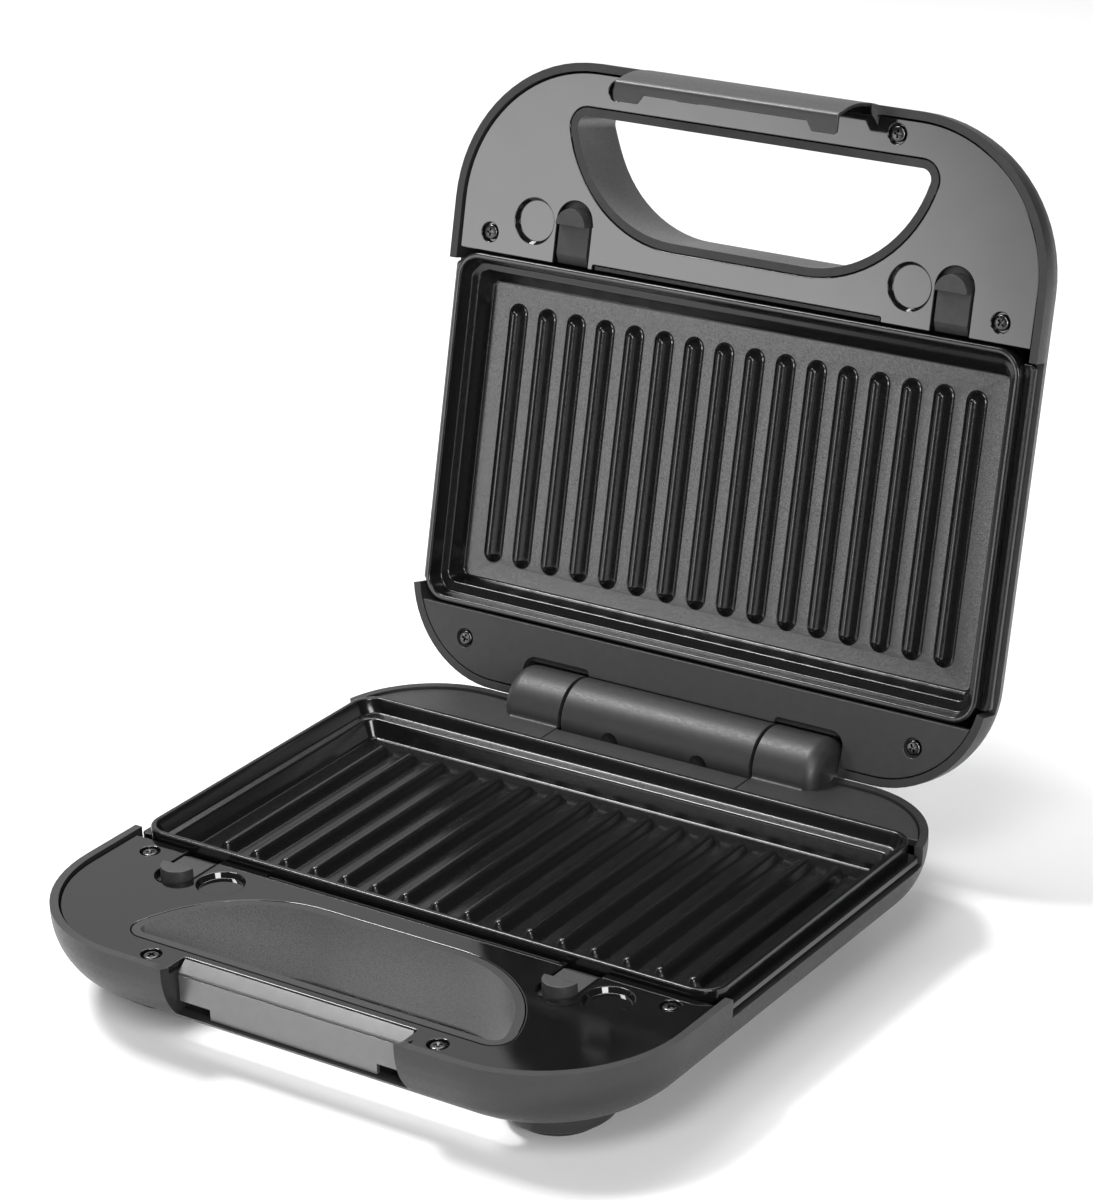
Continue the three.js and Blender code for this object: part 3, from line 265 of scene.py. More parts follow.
# Feet and lenses
FEET = [(-77, -188), (77, -188), (-77, -40), (77, -40)]
BOSS_FACE = -34.6
BOSS_FACE_RADIUS = 16.9
BOSS_EDGE = 2.0
BOSS_RADIUS = 20.4
BOSS_TOP = -25.5
PAD_BOTTOM = -37.5
PAD_TOP = -34.9
PAD_TREAD_RADIUS = 13.5
PAD_EDGE = 0.9
PAD_RADIUS = 15.4
LENSES = {"power_lens": (11, -155), "ready_lens": (-11, -155)}
LENS_HOLE_RADIUS = 4.1
LENS_HOLE_EDGE = 0.4
LENS_HOLE_DEPTH = 1.6
LENS_RADIUS = 3.6
LENS_DOME = 0.5
LENS_TOP = SHELL_BOTTOM + 3.2

# Panels of the studio: the direction they lie in, and (cosine to that direction, brightness) pairs
BACKDROP = ((-0.8, 0.55, 0.3), ((0.3, 0.08), (0.99, 0.75)))
KEY = ((-0.537, -0.842, 0.052), ((0.983, 0.0), (0.998, 5.5)))
# Area lights, in metres and watts: place, target, size and power
SOFTBOXES = {
    "overhead": ((-0.5, 0.65, 1.6), (0, 0.05, 0), (0.9, 0.9), 14),
    "upper_left": ((-0.89, -0.13, 1.56), (0, 0, 0), (0.45, 0.45), 27),
    "upper_front": ((0.45, -1.1, 1.5), (0, 0, 0.05), (0.7, 0.7), 13),
    "right_front": ((1.35, -1.25, 0.75), (0, -0.05, 0.08), (0.8, 0.7), 26),
}
FLOOR_HALF_SIZE = 9.0  # metres
CAMERA_PLACE = (0.68148, -0.97529, 0.61797)  # metres
CAMERA_AZIMUTH = math.radians(34.976)
CAMERA_ELEVATION = math.radians(22.918)
CAMERA_ROLL = math.radians(-1.907)
CAMERA_LENS = 117.15
CAMERA_SENSOR = 36

# ---- outlines ----


def arc(x, y, radius, start, end, steps):
    """Points of an arc, with its angles in degrees."""
    angles = [math.radians(start + (end - start) * i / steps) for i in range(steps + 1)]
    return [(x + radius * math.cos(a), y + radius * math.sin(a)) for a in angles]


def outline(corners, degrees_per_step=7.5):
    """Closed outline through (x, y, radius) corners, each rounded to its radius."""
    points = []
    for i, (x, y, radius) in enumerate(corners):
        here = Vector((x, y))
        before = (Vector(corners[i - 1][:2]) - here).normalized()
        after = (Vector(corners[(i + 1) % len(corners)][:2]) - here).normalized()
        if radius <= 0:
            points.append((x, y))
            continue
        half = before.angle(after) / 2
        reach = radius / math.tan(half)
        centre = here + (before + after).normalized() * (radius / math.sin(half))
        start = here + before * reach - centre
        end = here + after * reach - centre
        turn = start.angle_signed(end)
        steps = max(2, math.ceil(abs(math.degrees(turn)) / degrees_per_step))
        for k in range(steps + 1):
            spoke = start.copy()
            spoke.rotate(Matrix.Rotation(-turn * k / steps, 2))
            points.append(tuple(centre + spoke))
    return points


def circle(x, y, radius, steps=32):
    return arc(x, y, radius, 0, 360 - 360 / steps, steps - 1)


def rectangle(half_x, half_y):
    return [(-half_x, -half_y), (half_x, -half_y), (half_x, half_y), (-half_x, half_y)]


def rounded_box(x0, x1, front, rear, front_radius, rear_radius, degrees_per_step=15):
    """Rectangle with rounded corners, anticlockwise from the rear right one."""
    corners = [(x1, rear, rear_radius), (x0, rear, rear_radius)]
    corners += [(x0, front, front_radius), (x1, front, front_radius)]
    return outline(corners, degrees_per_step)


def steps_to(total, count):
    return [total * k / count for k in range(count + 1)]


def grown(points, distance):
    """An anticlockwise outline moved outwards by a distance, with mitred corners."""
    count = len(points)
    moved = []
    for i in range(count):
        here = Vector(points[i])
        edges = (here - Vector(points[i - 1]), Vector(points[(i + 1) % count]) - here)
        normals = [Vector((edge.y, -edge.x)).normalized() for edge in edges]
        mitre = (normals[0] + normals[1]).normalized()
        moved.append(tuple(here + mitre * (distance / max(0.5, mitre.dot(normals[0])))))
    return moved


def handle_outline(inset):
    """The D-shaped handle opening, drawn smaller by an inset."""
    x, y, radius = HANDLE_CORNER
    arc_x, arc_y, arc_radius = HANDLE_ARC
    small = radius - inset
    large = arc_radius - inset
    turn = HANDLE_CORNER_ANGLE
    right = arc(x, y, small, -90, turn, 10) + arc(arc_x, arc_y, large, turn, 90, 16)
    left = arc(-arc_x, arc_y, large, 90, 180 - turn, 16) + arc(-x, y, small, 180 - turn, 270, 10)
    return right + left


# ---- meshes ----


class Skin:
    """Points and faces of one piece in a half frame, in millimetres."""

    def __init__(self):
        self.points = []
        self.faces = []

    def add(self, points):
        start = len(self.points)
        self.points += [tuple(point) for point in points]
        return list(range(start, len(self.points)))

    def level(self, plan, z):
        return self.add((x, y, z) for x, y in plan)

    def bridge(self, first, second, closed=True):
        count = len(first)
        for i in range(count if closed else count - 1):
            j = (i + 1) % count
            self.faces.append((first[i], first[j], second[j], second[i]))

    def bridge_all(self, rows, closed=True):
        for first, second in zip(rows, rows[1:]):
            self.bridge(first, second, closed)

    def fill(self, loops, inner=()):
        """Triangles inside an outer loop and outside the others, seen in plan, through loose inner points."""
        index = [i for loop in loops for i in loop] + list(inner)
        plan = [Vector(self.points[i][:2]) for i in index]
        edges = []
        start = 0
        for loop in loops:
            edges += [(start + k, start + (k + 1) % len(loop)) for k in range(len(loop))]
            start += len(loop)
        _, _, faces, origins, _, _ = delaunay_2d_cdt(plan, edges, [], 0, 1e-7)
        rims = [[self.points[i][:2] for i in loop] for loop in loops]
        for face in faces:
            corners = [index[origins[v][0]] for v in face]
            x = sum(self.points[i][0] for i in corners) / 3
            y = sum(self.points[i][1] for i in corners) / 3
            if sum(inside(rim, x, y) for rim in rims) == 1:
                self.faces.append(tuple(corners))

    def join(self, other):
        start = len(self.points)
        self.points += other.points
        self.faces += [tuple(i + start for i in face) for face in other.faces]

    def moved(self, matrix):
        self.points = [tuple(matrix @ Vector(point)) for point in self.points]
        return self


def inside(rim, x, y):
    """True if a point lies inside a closed outline."""
    odd = False
    for (x0, y0), (x1, y1) in zip(rim, rim[1:] + rim[:1]):
        if (y0 > y) != (y1 > y) and x < x0 + (y - y0) * (x1 - x0) / (y1 - y0):
            odd = not odd
    return odd


def rounded_edge(radius, top, outward, steps=3):
    """Rings of a rounded top edge as (offset, z), from the side onto the face."""
    rings = []
    for i in range(steps + 1):
        angle = math.pi / 2 * i / steps
        rings.append((outward * radius * (1 - math.cos(angle)), top - radius * (1 - math.sin(angle))))
    return rings


def swept(skin, plan, rings):
    """Bridges copies of an outline at (offset, z) rings and returns the first and last."""
    levels = [skin.level(grown(plan, offset), z) for offset, z in rings]
    skin.bridge_all(levels)
    return levels[0], levels[-1]


def slab(plan, bottom, top, edge=COVER_EDGE, through=(), blind=(), bottom_edge=0.0):
    """A flat piece with rounded edges. Blind features are (outline, rings from the face down)."""
    skin = Skin()
    foot = [(-offset, bottom + top - z) for offset, z in reversed(rounded_edge(bottom_edge, top, 1))]
    if bottom_edge == 0:
        foot = [(0, bottom)]
    low, high = swept(skin, plan, foot + rounded_edge(edge, top, -1))
    top_loops = [high]
    bottom_loops = [low]
    for hole in through:
        low, high = swept(skin, hole, [(0, bottom)] + rounded_edge(edge, top, 1))
        top_loops.append(high)
        bottom_loops.append(low)
    for shape, rings in blind:
        first, last = swept(skin, shape, rings)
        top_loops.append(first)
        skin.fill([last])
    skin.fill(top_loops)
    skin.fill(bottom_loops)
    return skin


def turned(profile, steps=48):
    """A closed turned shape about Z from (radius, z) points that start and end on the axis."""
    skin = Skin()
    start = skin.add([(0, 0, profile[0][1])])[0]
    end = skin.add([(0, 0, profile[-1][1])])[0]
    rings = [skin.level(circle(0, 0, radius, steps), z) for radius, z in profile[1:-1]]
    skin.bridge_all(rings)
    for i in range(steps):
        j = (i + 1) % steps
        skin.faces.append((start, rings[0][j], rings[0][i]))
        skin.faces.append((end, rings[-1][i], rings[-1][j]))
    return skin


def along_x(skin, x, y, z, side=1):
    """Lays a shape turned about Z along X, with its own +Z towards the given side."""
    return skin.moved(Matrix.Translation((x, y, z)) @ Matrix.Rotation(side * math.pi / 2, 4, "Y"))


def extruded(section, x0, x1):
    """A closed section of (y, z) points carried along X."""
    skin = Skin()
    first = skin.add((x0, y, z) for y, z in section)
    last = skin.add((x1, y, z) for y, z in section)
    skin.bridge(first, last)
    skin.faces += [tuple(first), tuple(reversed(last))]
    return skin


def smooth_line(points, steps):
    """A smooth curve through points, as a Catmull-Rom spline."""
    padded = [points[0], *points, points[-1]]
    line = []
    for around in zip(padded, padded[1:], padded[2:], padded[3:]):
        line += [tuple(spline_value(*axis, k / steps) for axis in zip(*around)) for k in range(steps)]
    line.append(points[-1])
    return line


def spline_value(p, q, r, s, t):
    """Value of a Catmull-Rom spline at t between q and r."""
    return 0.5 * (2 * q + (r - p) * t + (2 * p - 5 * q + 4 * r - s) * t**2 + (3 * q - p - 3 * r + s) * t**3)


def build(name, skin, place, material, closed=True):
    """A mesh object from a skin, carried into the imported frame."""
    name = f"{name}{PIECE_SUFFIX}"
    mesh = bpy.data.meshes.new(name)
    mesh.from_pydata(skin.points, [], skin.faces)
    work = bmesh.new()
    work.from_mesh(mesh)
    bmesh.ops.remove_doubles(work, verts=work.verts, dist=1e-4)
    bmesh.ops.recalc_face_normals(work, faces=work.faces)
    if closed and work.calc_volume(signed=True) < 0:
        bmesh.ops.reverse_faces(work, faces=work.faces)
    work.to_mesh(mesh)
    work.free()
    mesh.transform(place)
    mesh.materials.append(material)
    obj = bpy.data.objects.new(name, mesh)
    bpy.context.scene.collection.objects.link(obj)
    return obj


def shade(obj, degrees=38.0, flat_fills=False):
    """Smooth shading that keeps flat faces flat. flat_fills makes the borders of filled triangles sharp."""
    obj.data.shade_smooth()
    obj.data.set_sharp_from_angle(angle=math.radians(degrees))
    if flat_fills:
        work = bmesh.new()
        work.from_mesh(obj.data)
        for edge in work.edges:
            if len({len(face.verts) for face in edge.link_faces}) > 1:
                edge.smooth = False
        work.to_mesh(obj.data)
        work.free()
    weights = obj.modifiers.new("flat_faces", "WEIGHTED_NORMAL")
    weights.keep_sharp = True
    return obj


def bevel(obj, width, segments, degrees):
    """Rounds the edges sharper than an angle by a width in millimetres."""
    rounding = obj.modifiers.new("rounding", "BEVEL")
    rounding.width = width * MM
    rounding.segments = segments
    rounding.limit_method = "ANGLE"
    rounding.angle_limit = math.radians(degrees)


def settle(obj):
    """Applies the modifiers an object has so far."""
    graph = bpy.context.evaluated_depsgraph_get()
    mesh = bpy.data.meshes.new_from_object(obj.evaluated_get(graph))
    obj.modifiers.clear()
    obj.data = mesh


def carve(obj, cutter):
    """Cuts one object out of another and removes the cutter."""
    cut = obj.modifiers.new("cut", "BOOLEAN")
    cut.operation = "DIFFERENCE"
    cut.solver = "EXACT"
    cut.object = cutter
    settle(obj)
    bpy.data.objects.remove(cutter)


def face_outwards(sheet):
    """Turns an open sheet so that most of its surface looks away from the middle of the piece."""
    mesh = sheet.data
    corners = [Vector(corner) for corner in sheet.bound_box]
    centre = sum(corners, Vector()) / len(corners)
    away = sum((polygon.center - centre).dot(polygon.normal) * polygon.area for polygon in mesh.polygons)
    if away < 0:
        mesh.flip_normals()


def thicken(sheet, thickness, edge, segments, degrees, even=False):
    """Gives an open sheet a wall inwards and rounds its edges, with both measures in millimetres."""
    face_outwards(sheet)
    thick = sheet.modifiers.new("wall", "SOLIDIFY")
    thick.thickness = thickness * MM
    thick.offset = -1
    thick.use_even_offset = even
    settle(sheet)
    bevel(sheet, edge, segments, degrees)
    settle(sheet)


def stand_for(obj, body):
    """Makes a piece stand for the CAD node it is named after, on that node's body."""
    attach(obj, body)
    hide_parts(obj.name.removesuffix(PIECE_SUFFIX))


def add_piece(name, skin, place, finish, body, degrees=38.0, flat_fills=False):
    """Builds and shades a closed piece that stands for its CAD node."""
    stand_for(shade(build(name, skin, place, finish.material), degrees, flat_fills), body)


# ---- materials ----


class Finish:
    """A Principled material with helpers for procedural colour, roughness and relief."""

    def __init__(self, name, color, roughness, metallic=0.0, specular=0.5, ior=1.5):
        self.material = bpy.data.materials.new(name)
        self.material.use_nodes = True
        self.tree = self.material.node_tree
        self.shader = self.tree.nodes["Principled BSDF"]
        self.color = color
        self.shader.inputs["Base Color"].default_value = (*color, 1)
        self.shader.inputs["Roughness"].default_value = roughness
        self.shader.inputs["Metallic"].default_value = metallic
        self.shader.inputs["Specular IOR Level"].default_value = specular
        self.shader.inputs["IOR"].default_value = ior
        self.place = self.tree.nodes.new("ShaderNodeTexCoord").outputs["Object"]

    def noise(self, scale, detail=3.0, stretch=None):
        texture = self.tree.nodes.new("ShaderNodeTexNoise")
        texture.inputs["Scale"].default_value = scale
        texture.inputs["Detail"].default_value = detail
        place = self.place
        if stretch:
            mapping = self.tree.nodes.new("ShaderNodeMapping")
            mapping.inputs["Scale"].default_value = stretch
            self.tree.links.new(place, mapping.inputs["Vector"])
            place = mapping.outputs["Vector"]
        self.tree.links.new(place, texture.inputs["Vector"])
        return texture.outputs["Fac"]

    def ramp(self, value, low, high, start=0.35, end=0.65):
        """Maps a value onto low..high, which are numbers or colours."""
        ramp = self.tree.nodes.new("ShaderNodeValToRGB")
        for element, place, shade_value in zip(ramp.color_ramp.elements, (start, end), (low, high)):
            element.position = place
            rgb = shade_value if isinstance(shade_value, tuple) else (shade_value,) * 3
            element.color = (*rgb, 1)
        self.tree.links.new(value, ramp.inputs["Fac"])
        return ramp.outputs["Color"]

    def drive(self, socket, value):
        self.tree.links.new(value, self.shader.inputs[socket])
        return self

    def mottle(self, scale, amount, detail=4.0):
        """Varies the colour about its own value."""
        darker = tuple(c * (1 - amount) for c in self.color)
        lighter = tuple(c * (1 + amount) for c in self.color)
        mix = self.ramp(self.noise(scale, detail), darker, lighter)
        return self.drive("Base Color", mix)

    def uneven(self, scale, low, high, detail=3.0, stretch=None):
        """Varies the roughness between two values."""
        mix = self.ramp(self.noise(scale, detail, stretch), low, high)
        return self.drive("Roughness", mix)

    def bumps(self, scale, distance, strength, detail=2.0):
        """Adds relief, with its depth in millimetres."""
        bump = self.tree.nodes.new("ShaderNodeBump")
        bump.inputs["Strength"].default_value = strength
        bump.inputs["Distance"].default_value = distance * MM
        self.tree.links.new(self.noise(scale, detail), bump.inputs["Height"])
        return self.drive("Normal", bump.outputs["Normal"])


def grey(value):
    return (value, value, value)


SHELL = Finish("shell_satin_plastic", grey(0.02), 0.42, specular=0.42)
SHELL.mottle(260, 0.08).uneven(900, 0.38, 0.47).bumps(2600, 0.012, 0.5)
# The handle well's wall is the shell's plastic with a real coarse grain. It is made lighter than SHELL as
# painted light, standing in for the light the wall catches through the opening.
WELL_GRAIN_AND_PAINTED_LIGHT = Finish("grained_well_plastic", grey(0.09), 0.4)
WELL_GRAIN_AND_PAINTED_LIGHT.mottle(2400, 0.3).uneven(1600, 0.3, 0.46).bumps(2200, 0.008, 0.6)
GLOSS = Finish("gloss_cover_plastic", grey(0.005), 0.07, ior=1.6)
GLOSS.uneven(60, 0.05, 0.085).bumps(14, 0.02, 0.25)
MATTE = Finish("matte_cover_plastic", grey(0.023), 0.46)
MATTE.mottle(300, 0.08).uneven(1200, 0.42, 0.52).bumps(3200, 0.014, 0.6)
COATING = Finish("speckled_nonstick", grey(0.005), 0.22)
COATING.mottle(2400, 0.5, 1.0).uneven(2200, 0.13, 0.25, 1.0).bumps(2800, 0.003, 0.35)
TAB = Finish("tab_plastic", grey(0.032), 0.46, specular=0.4)
TAB.mottle(400, 0.08).uneven(1000, 0.42, 0.52).bumps(2400, 0.012, 0.5)
LATCH = Finish("latch_satin_lacquer", grey(0.03), 0.4, metallic=0.15)
LATCH.mottle(240, 0.04).uneven(900, 0.34, 0.42).bumps(2200, 0.01, 0.5)
CATCH = Finish("catch_satin_lacquer", grey(0.17), 0.33, metallic=0.7)
CATCH.mottle(240, 0.03).uneven(900, 0.3, 0.36).bumps(2200, 0.006, 0.5)
SCREW = Finish("blackened_screw", grey(0.08), 0.24, metallic=1.0)
SCREW.mottle(500, 0.2).uneven(700, 0.2, 0.3).bumps(900, 0.01, 0.5)
STEEL = Finish("bright_steel", grey(0.5), 0.3, metallic=1.0)
STEEL.mottle(300, 0.08).uneven(600, 0.24, 0.38, stretch=(0.1, 1, 1)).bumps(800, 0.004, 0.5)
REFLECTOR = Finish("aluminised_sheet", grey(0.62), 0.28, metallic=1.0)
REFLECTOR.mottle(120, 0.06).uneven(220, 0.22, 0.36).bumps(60, 0.05, 0.3)
CERAMIC = Finish("ceramic", (0.62, 0.6, 0.54), 0.5)
CERAMIC.mottle(500, 0.06).uneven(400, 0.42, 0.6).bumps(900, 0.02, 0.5)
RUBBER = Finish("foot_rubber", grey(0.018), 0.75)
RUBBER.mottle(500, 0.15).uneven(600, 0.68, 0.85).bumps(900, 0.03, 0.6)
RED_LENS = Finish("red_lens", (0.35, 0.015, 0.01), 0.12)
RED_LENS.mottle(300, 0.1).uneven(300, 0.09, 0.16).bumps(300, 0.01, 0.3)
GREEN_LENS = Finish("green_lens", (0.02, 0.22, 0.04), 0.12)
GREEN_LENS.mottle(300, 0.1).uneven(300, 0.09, 0.16).bumps(300, 0.01, 0.3)

# ---- shells ----


def round_inset(angle):
    """How far the rounded side has come in at an angle round its quarter turn."""
    return SHELL_ROUND * (1 - max(0.0, math.cos(angle)) ** (2 / SHELL_POWER))


def angle_at_depth(depth):
    return math.asin(min(1.0, depth / SHELL_DEPTH) ** (SHELL_POWER / 2))


def depth_at_inset(inset):
    """Depth of the shell's outer face under the cover line, a given distance in from the outline."""
    if inset >= SHELL_ROUND:
        return SHELL_DEPTH
    cosine = (1 - max(0.0, inset) / SHELL_ROUND) ** (SHELL_POWER / 2)
    return SHELL_DEPTH * math.sqrt(1 - cosine * cosine) ** (2 / SHELL_POWER)


def inset_at(x, y, front_radius):
    """Distance of a plan point in from the outline."""
    across = abs(x)
    ends = ((front_radius, FRONT + front_radius, -1), (REAR_RADIUS, REAR - REAR_RADIUS, 1))
    for radius, centre_y, way in ends:
        corner_x = HALF_WIDTH - radius
        if (y - centre_y) * way > 0 and across > corner_x:
            return radius - math.hypot(across - corner_x, y - centre_y)
    return min(HALF_WIDTH - across, y - FRONT, REAR - y)


def outer_z(x, y, front_radius):
    return COVER_TOP - depth_at_inset(inset_at(x, y, front_radius))


def spaced(start, end, marks):
    """Values from start up to the end, about COLUMN_STEP apart and through the marks, without the end."""
    stops = sorted({start, end, *marks}, reverse=start > end)
    for a, b in zip(stops, stops[1:]):
        count = max(1, round(abs(b - a) / COLUMN_STEP))
        yield from (a + (b - a) * k / count for k in range(count))


def shell_columns(front_radius):
    """Outline points with their inward directions, anticlockwise from the right end of the rear side."""
    bay_turn = math.degrees(math.asin((BAY_REAR - (REAR - REAR_RADIUS)) / REAR_RADIUS))
    columns = []

    def straight(start, end, marks, inward):
        for place in spaced(start, end, marks):
            point = (place, REAR if inward[1] < 0 else FRONT)
            if inward[0]:
                point = (-inward[0] * HALF_WIDTH, place)
            columns.append((point, inward))

    def corner(x, y, radius, start, end, marks=()):
        for degrees in spaced(start, end, marks):
            turn = math.radians(degrees)
            way = (math.cos(turn), math.sin(turn))
            columns.append(((x + radius * way[0], y + radius * way[1]), (-way[0], -way[1])))

    rear_x, rear_y = HALF_WIDTH - REAR_RADIUS, REAR - REAR_RADIUS
    front_x, front_y = HALF_WIDTH - front_radius, FRONT + front_radius
    straight(rear_x, -rear_x, (-SADDLE_HALF_WIDTH, SADDLE_HALF_WIDTH), (0, -1))
    corner(-rear_x, rear_y, REAR_RADIUS, 90, 180, (180 - bay_turn,))
    straight(rear_y, front_y, (BAY_FRONT,), (1, 0))
    corner(-front_x, front_y, front_radius, 180, 270)
    straight(-front_x, front_x, (-NOTCH_HALF_WIDTH, NOTCH_HALF_WIDTH), (0, 1))
    corner(front_x, front_y, front_radius, 270, 360)
    straight(front_y, rear_y, (BAY_FRONT,), (-1, 0))
    corner(rear_x, rear_y, REAR_RADIUS, 0, 90, (bay_turn,))
    return columns


def make_shell_skin(front_radius, rear_rim, axis_z, lens_places=()):
    """Outer face of a shell with its handle well, notch pocket and hinge saddle, as one sheet."""
    skin = Skin()
    columns = shell_columns(front_radius)
    saddle_top = axis_z - SADDLE_DROP
    marks = [angle_at_depth(COVER_TOP - z) for z in (SIDE_TOP, NOTCH_BOTTOM, saddle_top)]
    end = math.acos((1 - RING_INSET_END / SHELL_ROUND) ** (SHELL_POWER / 2))
    even = [turn for turn in steps_to(end, RING_COUNT) if all(abs(turn - mark) > RING_GAP for mark in marks)]
    turns = sorted({*marks, *even})
    row_of = {z: turns.index(angle_at_depth(COVER_TOP - z)) + 1 for z in (SIDE_TOP, NOTCH_BOTTOM, saddle_top)}

    def rim_z(y):
        return rear_rim if y > BAY_REAR - TOUCH else COVER_TOP + RIM_PROUD

    grid = []
    for (x, y), (in_x, in_y) in columns:
        rows = [(x, y, rim_z(y))]
        for turn in turns:
            inset = round_inset(turn)
            rows.append((x + in_x * inset, y + in_y * inset, COVER_TOP - depth_at_inset(inset)))
        grid.append(skin.add(rows))
    count = len(columns)
    for i in range(count):
        j = (i + 1) % count
        (x0, y0), (x1, y1) = columns[i][0], columns[j][0]
        middle_x, middle_y = abs(x0 + x1) / 2, (y0 + y1) / 2
        first = 0
        if BAY_FRONT < middle_y < BAY_REAR:
            first = row_of[SIDE_TOP]
        if middle_y < FRONT + TOUCH and middle_x < NOTCH_HALF_WIDTH:
            first = row_of[NOTCH_BOTTOM]
        if middle_y > REAR - TOUCH and middle_x < SADDLE_HALF_WIDTH:
            first = row_of[saddle_top]
        for row in range(first, len(turns)):
            skin.faces.append((grid[i][row], grid[j][row], grid[j][row + 1], grid[i][row + 1]))

    add_pocket(skin, columns, grid, row_of[NOTCH_BOTTOM])
    add_saddle(skin, columns, grid, row_of[saddle_top], axis_z)
    add_underside(skin, columns, [column[-1] for column in grid], front_radius, lens_places)
    return skin


def columns_along(columns, side_y, half_width):
    """Indexes of the outline points on the front or rear side, out to a half width."""
    reach = half_width + TOUCH
    return [i for i, ((x, y), _) in enumerate(columns) if abs(y - side_y) < TOUCH and abs(x) < reach]


def add_pocket(skin, columns, grid, row):
    """Floor, back and ends of the front notch."""
    picked = columns_along(columns, FRONT, NOTCH_HALF_WIDTH)
    front = [grid[i][row] for i in picked]
    plan_x = [columns[i][0][0] for i in picked]
    floor = skin.add((x, NOTCH_REAR, NOTCH_BOTTOM) for x in plan_x)
    back = skin.add((x, NOTCH_REAR, COVER_UNDER) for x in plan_x)
    skin.bridge(front, floor, closed=False)
    skin.bridge(floor, back, closed=False)
    for end, at in ((picked[0], 0), (picked[-1], -1)):
        skin.faces.append((*grid[end][: row + 1], floor[at], back[at]))


def add_saddle(skin, columns, grid, row, axis_z):
    """Trough under the hinge barrel, with its two ends."""
    picked = columns_along(columns, REAR, SADDLE_HALF_WIDTH)
    start = skin.points[grid[picked[0]][row]]
    away = (start[1] - HINGE_Y, start[2] - axis_z)
    radius = math.hypot(*away)
    first = math.atan2(-away[0], -away[1])
    last = math.radians(SADDLE_END_DEGREES)
    previous = [grid[i][row] for i in picked]
    ends = {0: [previous[0]], -1: [previous[-1]]}
    for k in range(1, SADDLE_STEPS + 1):
        turn = first + (last - first) * k / SADDLE_STEPS
        y, z = HINGE_Y - radius * math.sin(turn), axis_z - radius * math.cos(turn)
        following = skin.add((columns[i][0][0], y, z) for i in picked)
        skin.bridge(previous, following, closed=False)
        for at in ends:
            ends[at].append(following[at])
        previous = following
    for at, arc_points in ends.items():
        skin.faces.append((*grid[picked[at]][:row], *arc_points))


def add_underside(skin, columns, rim, front_radius, lens_places):
    """Outer face inside the rounded side, with the handle well and any lens holes."""
    well = handle_outline(WELL_INSET)
    loops = []
    for turn in steps_to(math.pi / 2, WELL_FILLET_STEPS):
        plan = grown(well, WELL_FILLET * (1 - math.sin(turn)))
        rise = WELL_FILLET * (1 - math.cos(turn))
        loops.append(skin.add((x, y, outer_z(x, y, front_radius) + rise) for x, y in plan))
    mouth = [skin.points[i] for i in loops[-1]]
    for k in range(1, WELL_WALL_ROWS + 1):
        loops.append(skin.add((x, y, z + (COVER_TOP - z) * (k / WELL_WALL_ROWS)) for x, y, z in mouth))
    skin.bridge_all(loops)
    holes = [loops[0]]
    for x, y in lens_places:
        rings = [(0, 0), (-LENS_HOLE_EDGE, LENS_HOLE_EDGE), (-LENS_HOLE_EDGE, LENS_HOLE_DEPTH)]
        rings = [(offset, SHELL_BOTTOM + rise) for offset, rise in rings]
        holes.append(swept(skin, circle(x, y, LENS_HOLE_RADIUS, 24), rings)[0])
    rims = [[skin.points[i][:2] for i in hole] for hole in holes]
    margins = [grown(hole, FILL_MARGIN) for hole in rims]
    inner = []
    for inset in FILL_INSETS:
        for (x, y), (in_x, in_y) in columns:
            place = (x + in_x * inset, y + in_y * inset)
            if not any(inside(margin, *place) for margin in margins):
                inner += skin.level([place], outer_z(*place, front_radius))
    skin.fill([rim, *holes], inner)


def foot_boss(x, y):
    """Round boss that carries a foot, with softened edges."""
    profile = [(0, BOSS_FACE)]
    for turn in steps_to(math.pi / 2, 5):
        edge_z = BOSS_FACE + BOSS_EDGE - BOSS_EDGE * math.cos(turn)
        profile.append((BOSS_FACE_RADIUS + BOSS_EDGE * math.sin(turn), edge_z))
    profile += [(BOSS_RADIUS - 0.2, BOSS_TOP - 2), (BOSS_RADIUS, BOSS_TOP), (0, BOSS_TOP)]
    return turned(profile, 64).moved(Matrix.Translation((x, y, 0)))


def ledge():
    """Upright rib behind the front cover's set-back edge, with a shelf that shuts the gap to the plate."""
    front, rear = COVER_REAR - COVER_STEP + LEDGE_FRONT_GAP, COVER_REAR - LEDGE_REAR_GAP
    shelf_top = LEDGE_SHELF + LEDGE_SHELF_THICKNESS
    section = [(front, LEDGE_BOTTOM), (rear, LEDGE_BOTTOM), (rear, LEDGE_SHELF)]
    section += [(LEDGE_SHELF_REAR, LEDGE_SHELF), (LEDGE_SHELF_REAR, shelf_top)]
    section += [(rear, shelf_top), (rear, LEDGE_TOP), (front, LEDGE_TOP)]
    return extruded(section, -LEDGE_HALF_WIDTH, LEDGE_HALF_WIDTH)


def make_shell(half, place, rear_rim, axis_z, lens_places=(), extras=()):
    skin = make_shell_skin(FRONT_CORNER[half], rear_rim, axis_z, lens_places)
    sheet = build(f"{half}_shell", skin, place, SHELL.material, closed=False)
    thicken(sheet, SHELL_WALL, SHELL_EDGE, 3, 50, even=True)
    for extra in extras:
        add_island(sheet, extra, place)
    paint_well_grain_and_light(sheet, place)
    shade(sheet, 35)
    stand_for(sheet, half)


def paint_well_grain_and_light(sheet, place):
    """Gives the wall of the handle well its coarser grain and a lighter colour, which is painted light on
    that wall.
    """
    sheet.data.materials.append(WELL_GRAIN_AND_PAINTED_LIGHT.material)
    mouth = grown(handle_outline(WELL_INSET), 0.2)
    to_half = place.inverted()
    for polygon in sheet.data.polygons:
        x, y, _ = to_half @ polygon.center
        if inside(mouth, x, y):
            polygon.material_index = 1


